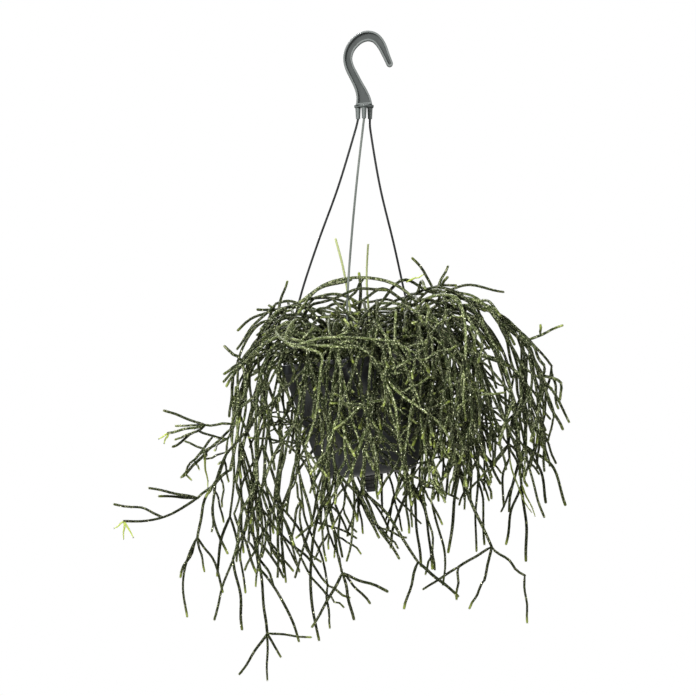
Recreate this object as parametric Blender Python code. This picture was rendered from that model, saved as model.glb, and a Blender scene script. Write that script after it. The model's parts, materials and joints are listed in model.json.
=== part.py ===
"""A mistletoe cactus, Rhipsalis pilocarpa, in a plastic hanging pot with its wire hanger.

Units are metres, +Z is up, +X is to the right and -Y is the front. The origin is the point inside the
crown of the hook where the plant hangs. The pot leans a little, because the plant is heavier on its left.
Every leafless stem is a thin round tube that ends in a whorl of shorter ones. A spray is a stem that
stands in the soil with all that grows from it, fused into one solid.
"""

import math
import random
from dataclasses import dataclass

import bmesh
import bpy
import numpy as np
from mathutils import Matrix, Vector

MM = 0.001

# Pot: a tapered nursery pot with a thick lip, seen from the rim's centre along its own axis
RIM_CENTRE = Vector((-11, 0, -284)) * MM
LEAN_DEG = 7
RIM_RADIUS = 70 * MM
LIP_HEIGHT = 9 * MM
WALL_TOP_RADIUS = 66.5 * MM
BASE_RADIUS = 43.5 * MM
BASE_ROUND = 7 * MM
BASE_FLARE = 1 * MM
LIP_ROUND = 1.5 * MM
LIP_THICK = 5 * MM
POT_HEIGHT = 106 * MM
WALL = 1.8 * MM
DRAIN_HOLE_RADIUS = 3 * MM
DRAIN_RING_RADIUS = 27 * MM
DRAIN_HOLES = 4
POT_SIDES = 32
SMALL_SIDES = 10

# Drain plug: a short hollow cone that clips into the middle of the base
PLUG_BORE_RADIUS = 2 * MM
PLUG_NECK_RADIUS = 4.2 * MM
PLUG_RADIUS = 9.5 * MM
PLUG_TIP_RADIUS = 5 * MM
PLUG_LENGTH = 16 * MM
PLUG_FLANGE = 2.5 * MM
PLUG_SIDES = 20

# Soil: fills the pot to a little below the rim, with a plain hole for each stem
SOIL_BELOW_RIM = 13 * MM
SOIL_DOME = 2.5 * MM
SOIL_SIDES = 24
ROOT_DEPTH = 11 * MM
GAP = 0.3 * MM

# Ears: three bosses on the lip, where the strands button through
EAR_ANGLES_DEG = {"left": 150, "right": 30, "front": 265}
EAR_RADIUS = 74 * MM
EAR_SIZE = Vector((11, 9, 8)) * MM
EAR_INSET = 1 * MM
EAR_ROUND = 3 * MM
EAR_BELOW_RIM = 0.6 * MM
EAR_HOLE_RADIUS = 1.5 * MM
EAR_CLEARANCE = 8 * MM

# Hanger: an I-section hook over a three-cornered plate with three sockets
HOOK_DEPTH = 8 * MM
HOOK_WEB = 2.4 * MM
HOOK_FLANGE = 1.7 * MM
HOOK_SPANS = 20
# Down the middle of the hook from its tip to the plate: x, z and half of its width, in millimetres
HOOK_LINE = [
    (19.5, -20.5, 2.9), (16.5, -13.5, 3.2), (12.5, -4.5, 3.9), (7.5, 2, 4.3), (1, 4.5, 4.5),
    (-6, 3, 4.5), (-12, -1.5, 4.4), (-16.5, -8, 4.2), (-18.3, -16, 4.1), (-16.5, -24, 4.1),
    (-12.5, -32, 4.2), (-8.5, -40, 4.4), (-5.5, -47, 5.4), (-4, -53, 6.6), (-3.6, -57.5, 7.4),
]
PLATE_CENTRE = Vector((-3.6, 0, -58.5)) * MM
PLATE_CORNER_RADIUS = 11.9 * MM
PLATE_ROUND = 4 * MM
PLATE_THICK = 2.6 * MM
SOCKET_RING_RADIUS = 6.2 * MM
SOCKET_RADII = (2.4 * MM, 1.9 * MM)
SOCKET_LENGTH = 9 * MM
SOCKET_BORE_RADIUS = 1.35 * MM
SOCKET_BORE_TOP = 2.3 * MM
SOCKET_ANGLES_DEG = {"left": 150, "right": 30, "front": 270}

# Strands: round wire from the sockets to the ears, with a button below each ear
STRAND_RADIUS = 1.0 * MM
STRAND_SPANS = 11
STRAND_SIDES = 6
BUTTON_RADIUS = 3.2 * MM
BUTTON_LENGTH = 8 * MM
# The points that each strand passes between its socket and its ear, in millimetres
STRAND_ROUTES = {
    "left": [(-12, 5, -82), (-27, 12, -131), (-45, 20, -180), (-60, 28, -225), (-69, 34, -262)],
    "right": [(2.5, 5, -82), (11, 10, -131), (23.5, 19, -182), (36, 28, -236), (46, 34, -262)],
    "front": [(-5, -8, -82), (-10, -20, -126), (-15, -38, -180), (-18.5, -55, -232), (-18.5, -67, -264)],
}

# Stems: three-sided tubes, thinner at each whorl and narrowed where they join it
STEM_SIDES = 3
STEM_RADII = (2.2 * MM, 1.95 * MM, 1.75 * MM, 1.6 * MM, 1.5 * MM)
SHOOT_RADIUS = 1.4 * MM
NECK_SHARE = 0.55
WAIST_SHARE = 0.85
TIP_SHARE = 0.6
STEM_APART = 0.8 * MM
TWIGS_APART = 0.4 * MM
SAMPLE_STEP = 2.5 * MM
HUB_REACH = 9 * MM
NEAR = 20 * MM
SPAN_LENGTH = 31 * MM
SEED = 20
SPRAYS = 34
PLACE_ATTEMPTS = 40
GROW_ATTEMPTS = 20
ROOT_AREA_RADIUS = 54 * MM
ROOT_SPOTS = 64
GOLDEN_ANGLE = math.radians(137.508)
# How a grown stem at each whorl differs: how many there are and how long they may be
WHORL_COUNTS = ((), (4, 4, 5), (3, 3, 4), (2, 3, 3), (2, 2, 3))
WHORL_LENGTHS = ((), (46 * MM, 95 * MM), (42 * MM, 85 * MM), (36 * MM, 74 * MM), (30 * MM, 60 * MM))
TUFTS = 7
HANG_SHARES = (0.55, 1.0)
TUFT_WHORL = 4
# The crown's dome: its height over the rim, and the shares of the reach where it turns down and meets the rim
DOME_HEIGHT = 74 * MM
DOME_SHOULDER = 0.45
DOME_EDGE = 0.95
# The share of an arched stem's length that it reaches outwards
ARCH_WIDTH = 0.58

# How far the grown sprays reach, how low they hang and how long their whorls are, on either side
LEFT_REACH, RIGHT_REACH = 111 * MM, 184 * MM
LEFT_LOWEST, RIGHT_LOWEST = -548 * MM, -398 * MM
LEFT_VIGOUR, RIGHT_VIGOUR = 1.3, 0.85


@dataclass
class Stem:
    """One stem of a spray: its middle line, and the number of the stem that it grows from."""

    points: np.ndarray
    radius: float
    parent: int
    at_tip: bool


def stem(route, *twigs, at=1.0, young=False):
    """One stem of a hand-placed spray: its route in millimetres after its root, and what grows from it.

    `at` is where on its parent it starts, as a share of the parent's length.
    """
    return {"route": route, "twigs": twigs, "at": at, "young": young}


# The sprays that shape the outline. The first point of each stands in the soil.
PLACED_SPRAYS = {
    "long_arm": stem(
        [(-45, 5, -297), (-62, 6, -262), (-88, 8, -262), (-108, 10, -300), (-117, 8, -350), (-124, 4, -386)],
        stem(
            [(-137, 0, -397), (-153, -4, -411)],
            stem([(-175, -7, -406), (-196, -9, -402)]),
            stem([(-170, 3, -412), (-188, 6, -410)]),
            stem(
                [(-168, -10, -423), (-188, -14, -429), (-218, -18, -431)],
                stem([(-226, -22, -437)], young=True),
                stem([(-219, -12, -447)], young=True),
                stem([(-210, -20, -445)], young=True),
                stem([(-200, -4, -421), (-228, 0, -417)], at=0.5),
            ),
            stem(
                [(-151, 8, -427), (-154, 10, -447)],
                stem([(-163, 8, -462), (-167, 6, -485), (-163, 4, -518)]),
                stem([(-151, 12, -460), (-148, 14, -478)]),
                stem([(-160, 16, -466), (-171, 20, -484)]),
                stem([(-143, 18, -468), (-131, 20, -483), (-133, 20, -497)]),
                at=0.6,
            ),
            stem([(-139, -8, -428), (-133, -10, -449), (-126, -12, -460)], at=0.45),
        ),
    ),
    "left_fan": stem(
        [(-52, 22, -300), (-70, 24, -258), (-98, 26, -272), (-113, 24, -315), (-123, 20, -345)],
        stem(
            [(-135, 18, -348), (-147, 16, -346)],
            stem([(-163, 14, -341), (-184, 12, -333)]),
            stem([(-160, 20, -349), (-174, 23, -347)]),
            stem(
                [(-165, 9, -351), (-180, 6, -353)],
                stem([(-188, 3, -358)], young=True),
                stem([(-184, 10, -362)], young=True),
            ),
            stem([(-160, 24, -358), (-177, 28, -366)]),
        ),
        stem([(-120, 12, -330), (-121, 8, -320), (-119, 6, -312)], at=0.93),
    ),
    "left_drop": stem(
        [(-30, 36, -297), (-52, 44, -256), (-88, 48, -268), (-112, 44, -310), (-125, 36, -350)],
        stem(
            [(-140, 32, -364), (-149, 30, -373)],
            stem([(-160, 28, -384), (-168, 26, -393)]),
            stem([(-150, 36, -388), (-146, 38, -403)], young=True),
        ),
        stem(
            [(-122, 42, -390), (-126, 44, -430)],
            stem([(-135, 50, -455), (-138, 52, -485)]),
            stem([(-118, 46, -460), (-112, 48, -500)]),
        ),
    ),
    "left_star": stem(
        [(-40, -22, -297), (-60, -30, -262), (-88, -36, -264), (-112, -40, -288)],
        stem([(-119, -41, -282), (-127, -43, -275)]),
        stem([(-120, -46, -293), (-127, -50, -299)]),
        stem([(-119, -34, -298), (-126, -30, -310)]),
        stem([(-108, -46, -306), (-110, -50, -340)], stem([(-114, -54, -362), (-112, -58, -390)])),
    ),
    "bottom_star": stem(
        [(-22, -40, -296), (-48, -58, -256), (-84, -76, -276), (-98, -80, -330), (-97, -76, -390)],
        stem(
            [(-98, -70, -430), (-95, -66, -470)],
            stem(
                [(-92, -64, -500), (-89, -62, -527)],
                stem([(-100, -65, -543), (-113, -67, -562)]),
                stem([(-91, -60, -548), (-89, -58, -568)]),
                stem([(-83, -70, -536), (-77, -75, -546)]),
                stem([(-70, -58, -528), (-51, -56, -531)]),
            ),
            stem([(-84, -72, -484), (-70, -76, -506), (-61, -78, -532)]),
        ),
        stem(
            [(-110, -84, -420), (-118, -86, -460)],
            stem([(-126, -88, -480), (-134, -90, -512)]),
            stem([(-112, -92, -490), (-110, -94, -520)]),
        ),
    ),
    "centre_star": stem(
        [(-8, -46, -296), (-16, -74, -256), (-28, -98, -288), (-34, -100, -340), (-34, -94, -400)],
        stem(
            [(-30, -88, -440), (-23, -84, -472)],
            stem([(-3, -84, -475), (16, -86, -488)]),
            stem([(-12, -78, -485), (1, -76, -499)]),
            stem([(-38, -90, -500), (-49, -94, -518)]),
            stem([(-20, -92, -492), (-13, -96, -511)]),
        ),
        stem([(-42, -90, -440), (-40, -86, -480), (-36, -84, -528)]),
    ),
    "right_star": stem(
        [(36, -30, -290), (58, -46, -252), (84, -58, -288), (92, -60, -340), (86, -56, -395)],
        stem(
            [(96, -50, -425), (109, -46, -452)],
            stem([(123, -48, -456), (138, -50, -477)], stem([(141, -51, -500), (140, -52, -518)])),
            stem(
                [(96, -44, -460), (80, -42, -470)],
                stem([(66, -40, -477), (49, -38, -490)]),
                stem([(79, -44, -484), (78, -46, -498)]),
            ),
            stem([(110, -40, -466), (103, -38, -482)], stem([(97, -37, -494), (90, -36, -507)])),
        ),
        stem([(74, -62, -425), (70, -66, -455)]),
    ),
    "low_middle": stem(
        [(14, -34, -292), (18, -66, -256), (12, -92, -290), (0, -98, -345), (-6, -94, -400)],
        stem(
            [(16, -86, -420), (29, -82, -442), (43, -80, -463)],
            stem([(38, -80, -484), (31, -80, -503)]),
            stem([(60, -78, -476), (78, -76, -493)]),
        ),
        stem([(8, -100, -430), (26, -102, -458)]),
    ),
    "back_drop": stem(
        [(20, 30, -293), (26, 58, -250), (34, 88, -276), (40, 92, -340), (42, 84, -404)],
        stem([(54, 78, -430), (58, 74, -458), (60, 72, -480)]),
        stem([(46, 90, -440), (50, 94, -479)]),
        stem([(28, 90, -430), (22, 94, -462)]),
    ),
    "right_drop": stem(
        [
            (36, -4, -289), (52, -7, -258), (84, -12, -242), (118, -16, -284), (132, -18, -345),
            (137, -18, -398),
        ],
        stem([(141, -18, -430), (139, -18, -452), (141, -18, -466)]),
        stem([(143, -28, -410), (148, -34, -425)], young=True),
        stem([(128, -10, -425), (124, -6, -452)]),
    ),
    "right_wide": stem(
        [(40, 14, -288), (56, 16, -254), (88, 16, -237), (122, 14, -250), (146, 10, -274), (154, 8, -301)],
        stem([(160, 3, -318), (168, 0, -335), (175, -2, -349)]),
        stem([(168, 14, -316), (182, 16, -343)]),
        stem([(166, -2, -303), (179, -8, -311), (172, -11, -322)]),
        stem([(158, 8, -266), (175, 4, -256)], stem([(156, 11, -256)], at=0.4), at=0.82),
    ),
    "right_hang": stem(
        [(28, 30, -292), (42, 36, -258), (72, 44, -238), (112, 50, -266), (136, 48, -320), (146, 44, -364)],
        stem([(164, 40, -379), (174, 37, -396), (180, 34, -419)]),
        stem([(150, 48, -395), (162, 52, -431)]),
        stem([(158, 56, -386), (164, 60, -418)]),
        stem([(134, 50, -396), (130, 54, -426)]),
    ),
    "top_star": stem(
        [(26, 4, -291), (38, 2, -258), (60, 0, -227)],
        stem([(54, -3, -214), (47, -5, -202), (40, -7, -196)]),
        stem([(66, 5, -215), (72, 7, -203)]),
        stem([(68, -7, -219), (71, -10, -213)]),
        stem([(80, -4, -222), (100, -8, -220), (121, -10, -226)]),
        stem(
            [(76, 8, -227), (100, 10, -229), (114, 12, -236), (119, 12, -254)],
            stem([(104, 8, -240), (104, 8, -256)], at=0.55),
        ),
        stem(
            [(46, -10, -221), (32, -14, -216), (20, -16, -222), (8, -18, -240)],
            stem([(39, -20, -208), (49, -22, -211)], at=0.45, young=True),
        ),
    ),
    "top_arc": stem(
        [
            (30, -14, -291), (46, -18, -244), (30, -26, -223), (-2, -32, -214), (-36, -34, -219),
            (-61, -36, -236),
        ],
        stem([(-44, -40, -230), (-56, -44, -246)], at=0.72),
        stem([(-26, -30, -228), (-22, -28, -240)], at=0.66),
    ),
    "front_arch": stem(
        [(-4, -26, -294), (-13, -54, -256), (-8, -86, -268), (9, -104, -298)],
        stem(
            [(21, -108, -324), (28, -106, -360), (31, -100, -396)],
            stem([(36, -98, -412), (35, -96, -436)]),
        ),
        stem([(30, -102, -316), (56, -96, -328), (74, -92, -350), (83, -90, -370)]),
        stem([(24, -106, -293), (38, -108, -297)]),
        stem([(2, -112, -320), (-8, -114, -345)]),
    ),
    "dark_shoot": stem([(-8, 17, -296), (-8, 16, -250), (-8, 16, -209)]),
}

# Fresh light green shoots that stand up out of the crown
YOUNG_SHOOTS = {
    "young_shoot_left": stem(
        [(-15, -9, -296), (-16, -9, -240), (-20, -9, -215), (-29, -9, -179)], young=True
    ),
    "young_shoot_right": stem([(1, -5, -294), (0, -5, -240), (0, -5, -184)], young=True),
}


def unit(vector):
    return vector / np.linalg.norm(vector)


def pot_frame():
    """The matrix that carries the pot's own frame, with its rim at zero, to its place."""
    return Matrix.Translation(RIM_CENTRE) @ Matrix.Rotation(math.radians(-LEAN_DEG), 4, "Y")


POT_FRAME = pot_frame()
POT_TURN = np.array(POT_FRAME.to_3x3())
POT_PLACE = np.array(RIM_CENTRE)


def wall_radius(depth):
    """The outer radius of the pot's wall at a depth below the rim."""
    share = np.clip((depth - LIP_HEIGHT) / (POT_HEIGHT - LIP_HEIGHT), 0, 1)
    return WALL_TOP_RADIUS + (BASE_RADIUS - WALL_TOP_RADIUS) * share


def smooth_curve(points, count):
    """`count` + 1 points, evenly spaced on a smooth curve through the given ones."""
    knots = np.array(points, float)
    if len(knots) == 2:
        share = np.linspace(0, 1, count + 1)[:, None]
        return knots[0] + (knots[1] - knots[0]) * share
    padded = np.vstack([2 * knots[0] - knots[1], knots, 2 * knots[-1] - knots[-2]])
    fine = []
    for i in range(len(knots) - 1):
        a, b, c, d = padded[i : i + 4]
        t = np.linspace(0, 1, 12, endpoint=False)[:, None]
        squared = (2 * a - 5 * b + 4 * c - d) * t**2
        cubed = (3 * b - a - 3 * c + d) * t**3
        fine.append(b + ((c - a) * t + squared + cubed) / 2)
    fine = np.vstack([*fine, knots[-1:]])
    run = run_along(fine)
    wanted = np.linspace(0, run[-1], count + 1)
    return np.column_stack([np.interp(wanted, run, fine[:, k]) for k in range(3)])


def run_along(points):
    """How far along a polyline each of its points lies."""
    return np.concatenate([[0], np.cumsum(np.linalg.norm(np.diff(points, axis=0), axis=1))])


def length_of(points):
    return run_along(points)[-1]


def sampled(points):
    """Points along a polyline, no further apart than the sample step."""
    pieces = []
    for a, b in zip(points[:-1], points[1:]):
        steps = max(1, math.ceil(np.linalg.norm(b - a) / SAMPLE_STEP))
        pieces.append(a + (b - a) * np.linspace(0, 1, steps, endpoint=False)[:, None])
    return np.vstack([*pieces, points[-1:]])


class Thicket:
    """What has been placed so far, as spheres along it, so that no spray grows into another solid."""

    def __init__(self):
        self.points = np.empty((0, 3))
        self.radii = np.empty(0)
        self.owners = np.empty(0, int)

    def add(self, points, radius, owner):
        spheres = sampled(np.asarray(points, float))
        self.points = np.vstack([self.points, spheres])
        self.radii = np.concatenate([self.radii, np.full(len(spheres), radius)])
        self.owners = np.concatenate([self.owners, np.full(len(spheres), owner)])

    def is_clear(self, points, radius, owner, rooted):
        """Whether a stem of this route touches neither the pot, the soil nor another spray.

        Near its own start a stem may touch its parent and its neighbours in the whorl. A rooted one
        also stands in the soil.
        """
        spheres = sampled(points)
        from_start = np.linalg.norm(spheres - points[0], axis=1)
        beyond_root = spheres[from_start > (1.6 * ROOT_DEPTH if rooted else 0)]
        if pot_touches(beyond_root, radius + STEM_APART).any():
            return False
        low, high = spheres.min(axis=0) - NEAR, spheres.max(axis=0) + NEAR
        near = np.all((self.points > low) & (self.points < high), axis=1)
        if not near.any():
            return True
        apart = np.linalg.norm(spheres[:, None, :] - self.points[near][None, :, :], axis=2)
        own = self.owners[near] == owner
        needed = radius + self.radii[near] + np.where(own, TWIGS_APART, STEM_APART)
        touching = apart < needed[None, :]
        at_hub = from_start < HUB_REACH
        touching[np.ix_(at_hub, own)] = False
        return not touching.any()


def pot_touches(points, margin):
    """Which points lie within a margin of the pot, its soil or its drain plug."""
    local = (points - POT_PLACE) @ POT_TURN
    outward = np.hypot(local[:, 0], local[:, 1])
    depth = -local[:, 2]
    lip = depth < LIP_HEIGHT + margin
    outer = np.where(lip, RIM_RADIUS, wall_radius(depth))
    in_reach = (depth > -margin) & (depth < POT_HEIGHT + margin) & (outward < outer + margin)
    mouth = (depth < SOIL_BELOW_RIM - SOIL_DOME - margin) & (outward < RIM_RADIUS - LIP_THICK - margin)
    beside_plug = (depth > POT_HEIGHT) & (depth < POT_HEIGHT + PLUG_LENGTH + margin)
    return (in_reach & ~mouth) | (beside_plug & (outward < PLUG_RADIUS + margin))


def swayed(points, rng, attempt):
    """The route pushed a little to one side along its middle, more at each new attempt."""
    if attempt == 0:
        return points
    push = np.array([rng.uniform(-0.5, 0.5), rng.uniform(-1, 1), rng.uniform(-0.4, 0.4)])
    share = np.linspace(0, 1, len(points))[:, None]
    return points + push * (1.2 * attempt * MM) * np.sin(math.pi * share * 0.75)


def stem_radius(level, young=False):
    return SHOOT_RADIUS if young else STEM_RADII[min(level, len(STEM_RADII) - 1)]


def span_count(length):
    return max(1, round(length / SPAN_LENGTH))


def point_at(points, share):
    """The point at a share of a polyline's length."""
    run = run_along(points)
    return np.array([np.interp(share * run[-1], run, points[:, k]) for k in range(3)])


class Spray:
    """A stem that stands in the soil, and all that grows from it."""

    def __init__(self, thicket, owner, rng):
        self.thicket = thicket
        self.owner = owner
        self.rng = rng
        self.stems = []

    def add(self, points, radius, parent, at_tip=True):
        """Adds a stem if it is clear of all that is placed, and returns its number, or nothing."""
        if not self.thicket.is_clear(points, radius, self.owner, parent < 0):
            return None
        self.thicket.add(points, radius, self.owner)
        self.stems.append(Stem(points, radius, parent, at_tip))
        return len(self.stems) - 1

    def place(self, description, level=0, parent=-1, start=None):
        """Places a hand-routed stem and all that grows from it, swayed a little where it isn't clear."""
        route = [np.array(point) * MM for point in description["route"]]
        if start is not None:
            route.insert(0, start)
        planned = smooth_curve(route, max(span_count(length_of(np.array(route))), len(route) // 2))
        radius = stem_radius(level, description["young"])
        for attempt in range(PLACE_ATTEMPTS):
            number = self.add(swayed(planned, self.rng, attempt), radius, parent, description["at"] == 1)
            if number is not None:
                break
        else:
            return
        for twig in description["twigs"]:
            self.place(twig, level + 1, number, point_at(self.stems[number].points, twig["at"]))

    def grow(self, foot, angle):
        """Grows a stem out of the soil at this foot that arches over the rim, and all that hangs from it."""
        rng = self.rng
        rim_z = POT_PLACE[2]
        inner = 1 - math.hypot(*(foot - POT_PLACE)[:2]) / ROOT_AREA_RADIUS
        for _ in range(GROW_ATTEMPTS):
            azimuth = angle + rng.uniform(-0.5, 0.5) * (1 + inner)
            limits = habit(azimuth)
            limits["lowest"] = rim_z + (limits["lowest"] - rim_z) * rng.uniform(*HANG_SHARES)
            outward = limits["reach"] * rng.uniform(0.55, 0.85) - ROOT_AREA_RADIUS * (1 - inner)
            length = max(95 * MM, outward / ARCH_WIDTH)
            rise, fall = rng.uniform(70, 86), rng.uniform(45, 80)
            points = arched(foot, azimuth, rise, fall, rng.uniform(-30, 30), rng.uniform(1.2, 1.9), length)
            if in_bounds(points, limits) and self.add(points, stem_radius(0), -1) is not None:
                self.grow_tufts(0, azimuth, limits)
                self.grow_whorl(0, 1, limits)
                return

    def grow_whorl(self, parent, level, limits):
        """Grows the whorl of shorter stems at the end of a stem, and theirs in turn."""
        if level > limits["whorls"]:
            return
        rng = self.rng
        end = self.stems[parent].points
        wanted = rng.choice(WHORL_COUNTS[level])
        first = rng.uniform(0, 360)
        for i in range(wanted):
            for _ in range(GROW_ATTEMPTS):
                length = rng.uniform(*WHORL_LENGTHS[level]) * limits["vigour"]
                turn = first + 360 * i / wanted + rng.uniform(-30, 30)
                direction = whorl_direction(end[-1] - end[-2], rng.uniform(18, 48), turn)
                points = hanging(end[-1], direction, rng.uniform(7, 18), length, rng)
                if not in_bounds(points, limits):
                    continue
                number = self.add(points, stem_radius(level), parent)
                if number is not None:
                    self.grow_whorl(number, level + 1, limits)
                    break

    def grow_tufts(self, parent, azimuth, limits):
        """Grows the short stems that stand off the upper side of an arch and fill the crown."""
        rng = self.rng
        for _ in range(TUFTS):
            start = point_at(self.stems[parent].points, rng.uniform(0.3, 0.8))
            for _ in range(GROW_ATTEMPTS):
                direction = direction_of(azimuth + rng.uniform(-2, 2), math.radians(rng.uniform(-5, 50)))
                points = hanging(start, direction, rng.uniform(14, 34), rng.uniform(40, 85) * MM, rng)
                if not in_bounds(points, limits):
                    continue
                number = self.add(points, stem_radius(1), parent, False)
                if number is not None:
                    self.grow_whorl(number, TUFT_WHORL, limits)
                    break


def direction_of(heading, slope):
    level = math.cos(slope)
    return np.array([level * math.cos(heading), level * math.sin(heading), math.sin(slope)])


def arched(start, azimuth, rise_deg, fall_deg, turn_deg, stiffness, length):
    """A stem that rises out of the soil, arches over and hangs; a stiffer one bends later."""
    points = [start]
    steps = 24
    for i in range(steps):
        share = (i + 0.5) / steps
        slope = math.radians(rise_deg - (rise_deg + fall_deg) * share**stiffness)
        heading = azimuth + math.radians(turn_deg) * share
        points.append(points[-1] + direction_of(heading, slope) * length / steps)
    return smooth_curve(points[::4], span_count(length) + 1)


def hanging(start, direction, droop, length, rng):
    """A stem that leaves a whorl in one direction, bends a little and sinks under its own weight."""
    bend = np.array([rng.gauss(0, 2.5), rng.gauss(0, 2.5), -droop])
    points = [start]
    heading = unit(direction)
    steps = 12
    for _ in range(steps):
        heading = unit(heading + bend * length / steps)
        points.append(points[-1] + heading * length / steps)
    return smooth_curve(points[::3], span_count(length))


def whorl_direction(parent, spread_deg, round_deg):
    """A direction at an angle to the parent's end, turned round it."""
    along = unit(parent)
    side = unit(np.cross(along, (0.31, 0.87, 0.4)))
    other = np.cross(along, side)
    spread, turn = math.radians(spread_deg), math.radians(round_deg)
    return along * math.cos(spread) + (side * math.cos(turn) + other * math.sin(turn)) * math.sin(spread)


def habit(azimuth):
    """How far the plant reaches and hangs on the side that faces this way.

    It arches widest to the right, and its longest stems hang deepest to the left.
    """
    right = 0.5 + 0.5 * math.cos(azimuth)
    return {
        "reach": LEFT_REACH + (RIGHT_REACH - LEFT_REACH) * right**1.4,
        "lowest": LEFT_LOWEST + (RIGHT_LOWEST - LEFT_LOWEST) * right,
        "whorls": 3 if right > 0.6 else 4,
        "vigour": LEFT_VIGOUR + (RIGHT_VIGOUR - LEFT_VIGOUR) * right,
    }


def in_bounds(points, limits):
    """Whether a stem keeps under the dome of the crown, and within its side's reach and depth."""
    away = np.hypot(points[:, 0] - POT_PLACE[0], points[:, 1]) / limits["reach"]
    past_shoulder = np.clip((away - DOME_SHOULDER) / (DOME_EDGE - DOME_SHOULDER), 0, None)
    dome = POT_PLACE[2] + DOME_HEIGHT * (1 - past_shoulder**2)
    return (away < 1).all() and (points[:, 2] < dome).all() and points[-1, 2] > limits["lowest"]


def soil_level(radius):
    """How far below the rim the soil's domed top lies at a distance from the pot's axis."""
    return SOIL_BELOW_RIM - SOIL_DOME * (1 - (radius / WALL_TOP_RADIUS) ** 2)


def soil_point(radius, angle):
    """A root's foot in the soil, in the plant's frame."""
    depth = soil_level(radius) + ROOT_DEPTH
    return POT_PLACE + POT_TURN @ np.array([radius * math.cos(angle), radius * math.sin(angle), -depth])


def planted(description):
    """A hand-placed spray with its foot put at root depth in the soil, below where it comes out."""
    first = np.array(description["route"][0]) * MM
    local = (first - POT_PLACE) @ POT_TURN
    foot = soil_point(math.hypot(local[0], local[1]), math.atan2(local[1], local[0]))
    return {**description, "route": [tuple(foot / MM), *description["route"][1:]]}


def grow_plant(thicket):
    """Every spray of the plant, by name."""
    rng = random.Random(SEED)
    sprays = {}
    for name, description in {**YOUNG_SHOOTS, **PLACED_SPRAYS}.items():
        sprays[name] = Spray(thicket, len(sprays) + 1, rng)
        sprays[name].place(planted(description))
    grown = 0
    for spot in range(3 * ROOT_SPOTS):
        radius = ROOT_AREA_RADIUS * math.sqrt((spot * 7 % ROOT_SPOTS + 0.5) / ROOT_SPOTS)
        angle = spot * GOLDEN_ANGLE
        spray = Spray(thicket, len(sprays) + 1, rng)
        spray.grow(soil_point(radius, angle), angle)
        if spray.stems:
            grown += 1
            sprays[f"spray_{grown:02d}"] = spray
        if grown == SPRAYS:
            break
    return sprays


def clear_scene():
    for obj in list(bpy.data.objects):
        bpy.data.objects.remove(obj)


def material(name, colour, roughness):
    made = bpy.data.materials.new(name)
    made.use_nodes = True
    shader = made.node_tree.nodes["Principled BSDF"]
    shader.inputs["Base Color"].default_value = (*colour, 1)
    shader.inputs["Roughness"].default_value = roughness
    shader.inputs["Metallic"].default_value = 0
    made.diffuse_color = (*colour, 1)
    return made


def new_object(name, mesh):
    made = bpy.data.objects.new(name, mesh)
    bpy.context.scene.collection.objects.link(made)
    return made


def finish(made, look, parent=None):
    """Gives a modelled object its material and, where it sits in the leaning pot, its parent."""
    made.data.materials.clear()
    made.data.materials.append(look)
    made.parent = parent


def mesh_of(name, bm):
    """The mesh of a bmesh, with doubles merged and faces turned outwards."""
    bmesh.ops.remove_doubles(bm, verts=bm.verts, dist=0.001 * MM)
    bmesh.ops.recalc_face_normals(bm, faces=bm.faces)
    made = bpy.data.meshes.new(name)
    bm.to_mesh(made)
    bm.free()
    made.shade_smooth()
    made.set_sharp_from_angle(angle=math.radians(35))
    return made


def lathed(name, profile, sides):
    """A profile of (radius, height) pairs spun round the Z axis.

    The profile is closed, except that one whose ends are on the axis stays open there.
    """
    bm = bmesh.new()
    corners = [bm.verts.new((radius, 0, height)) for radius, height in profile]
    ends = corners[:1] if profile[0][0] > 0 else []
    edges = [bm.edges.new((a, b)) for a, b in zip(corners, corners[1:] + ends)]
    bmesh.ops.spin(
        bm, geom=corners + edges, cent=(0, 0, 0), axis=(0, 0, 1),
        angle=2 * math.pi, steps=sides, use_merge=True,
    )
    bmesh.ops.dissolve_degenerate(bm, dist=0.001 * MM, edges=bm.edges)
    return mesh_of(name, bm)


def tube_mesh(name, points, radii, sides):
    """A tube of a few flat sides along the points, closed at both ends."""
    spans = np.diff(points, axis=0)
    spans /= np.linalg.norm(spans, axis=1)[:, None]
    normals = np.vstack([spans[:1], spans[:-1] + spans[1:], spans[-1:]])
    turns = [2 * math.pi * k / sides for k in range(sides)]
    side = np.cross(normals[0], (0.2, 0.9, 0.1))
    corners = []
    for centre, normal, radius in zip(points, normals, radii):
        normal = unit(normal)
        side = unit(side - normal * np.dot(side, normal))
        other = np.cross(normal, side)
        corners += [centre + radius * (side * math.cos(turn) + other * math.sin(turn)) for turn in turns]
    faces = [tuple(range(sides))[::-1], tuple(range(len(corners) - sides, len(corners)))]
    for ring in range(len(points) - 1):
        for k in range(sides):
            a, b = ring * sides + k, ring * sides + (k + 1) % sides
            faces.append((a, b, b + sides, a + sides))
    mesh = bpy.data.meshes.new(name)
    mesh.from_pydata([tuple(corner) for corner in corners], [], faces)
    return mesh


def combined(base, others, operation, solver="EXACT"):
    """Joins the other objects to the base, or cuts them from it, and removes them."""
    tools = bpy.data.collections.new("tools")
    for other in others:
        tools.objects.link(other)
    boolean = base.modifiers.new("combined", "BOOLEAN")
    boolean.operation = operation
    boolean.operand_type = "COLLECTION"
    boolean.collection = tools
    boolean.solver = solver
    bpy.context.view_layer.update()
    mesh = bpy.data.meshes.new_from_object(base.evaluated_get(bpy.context.evaluated_depsgraph_get()))
    base.modifiers.clear()
    old = base.data
    base.data = mesh
    bpy.data.meshes.remove(old)
    for other in others:
        bpy.data.objects.remove(other)
    bpy.data.collections.remove(tools)
    return base


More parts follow.
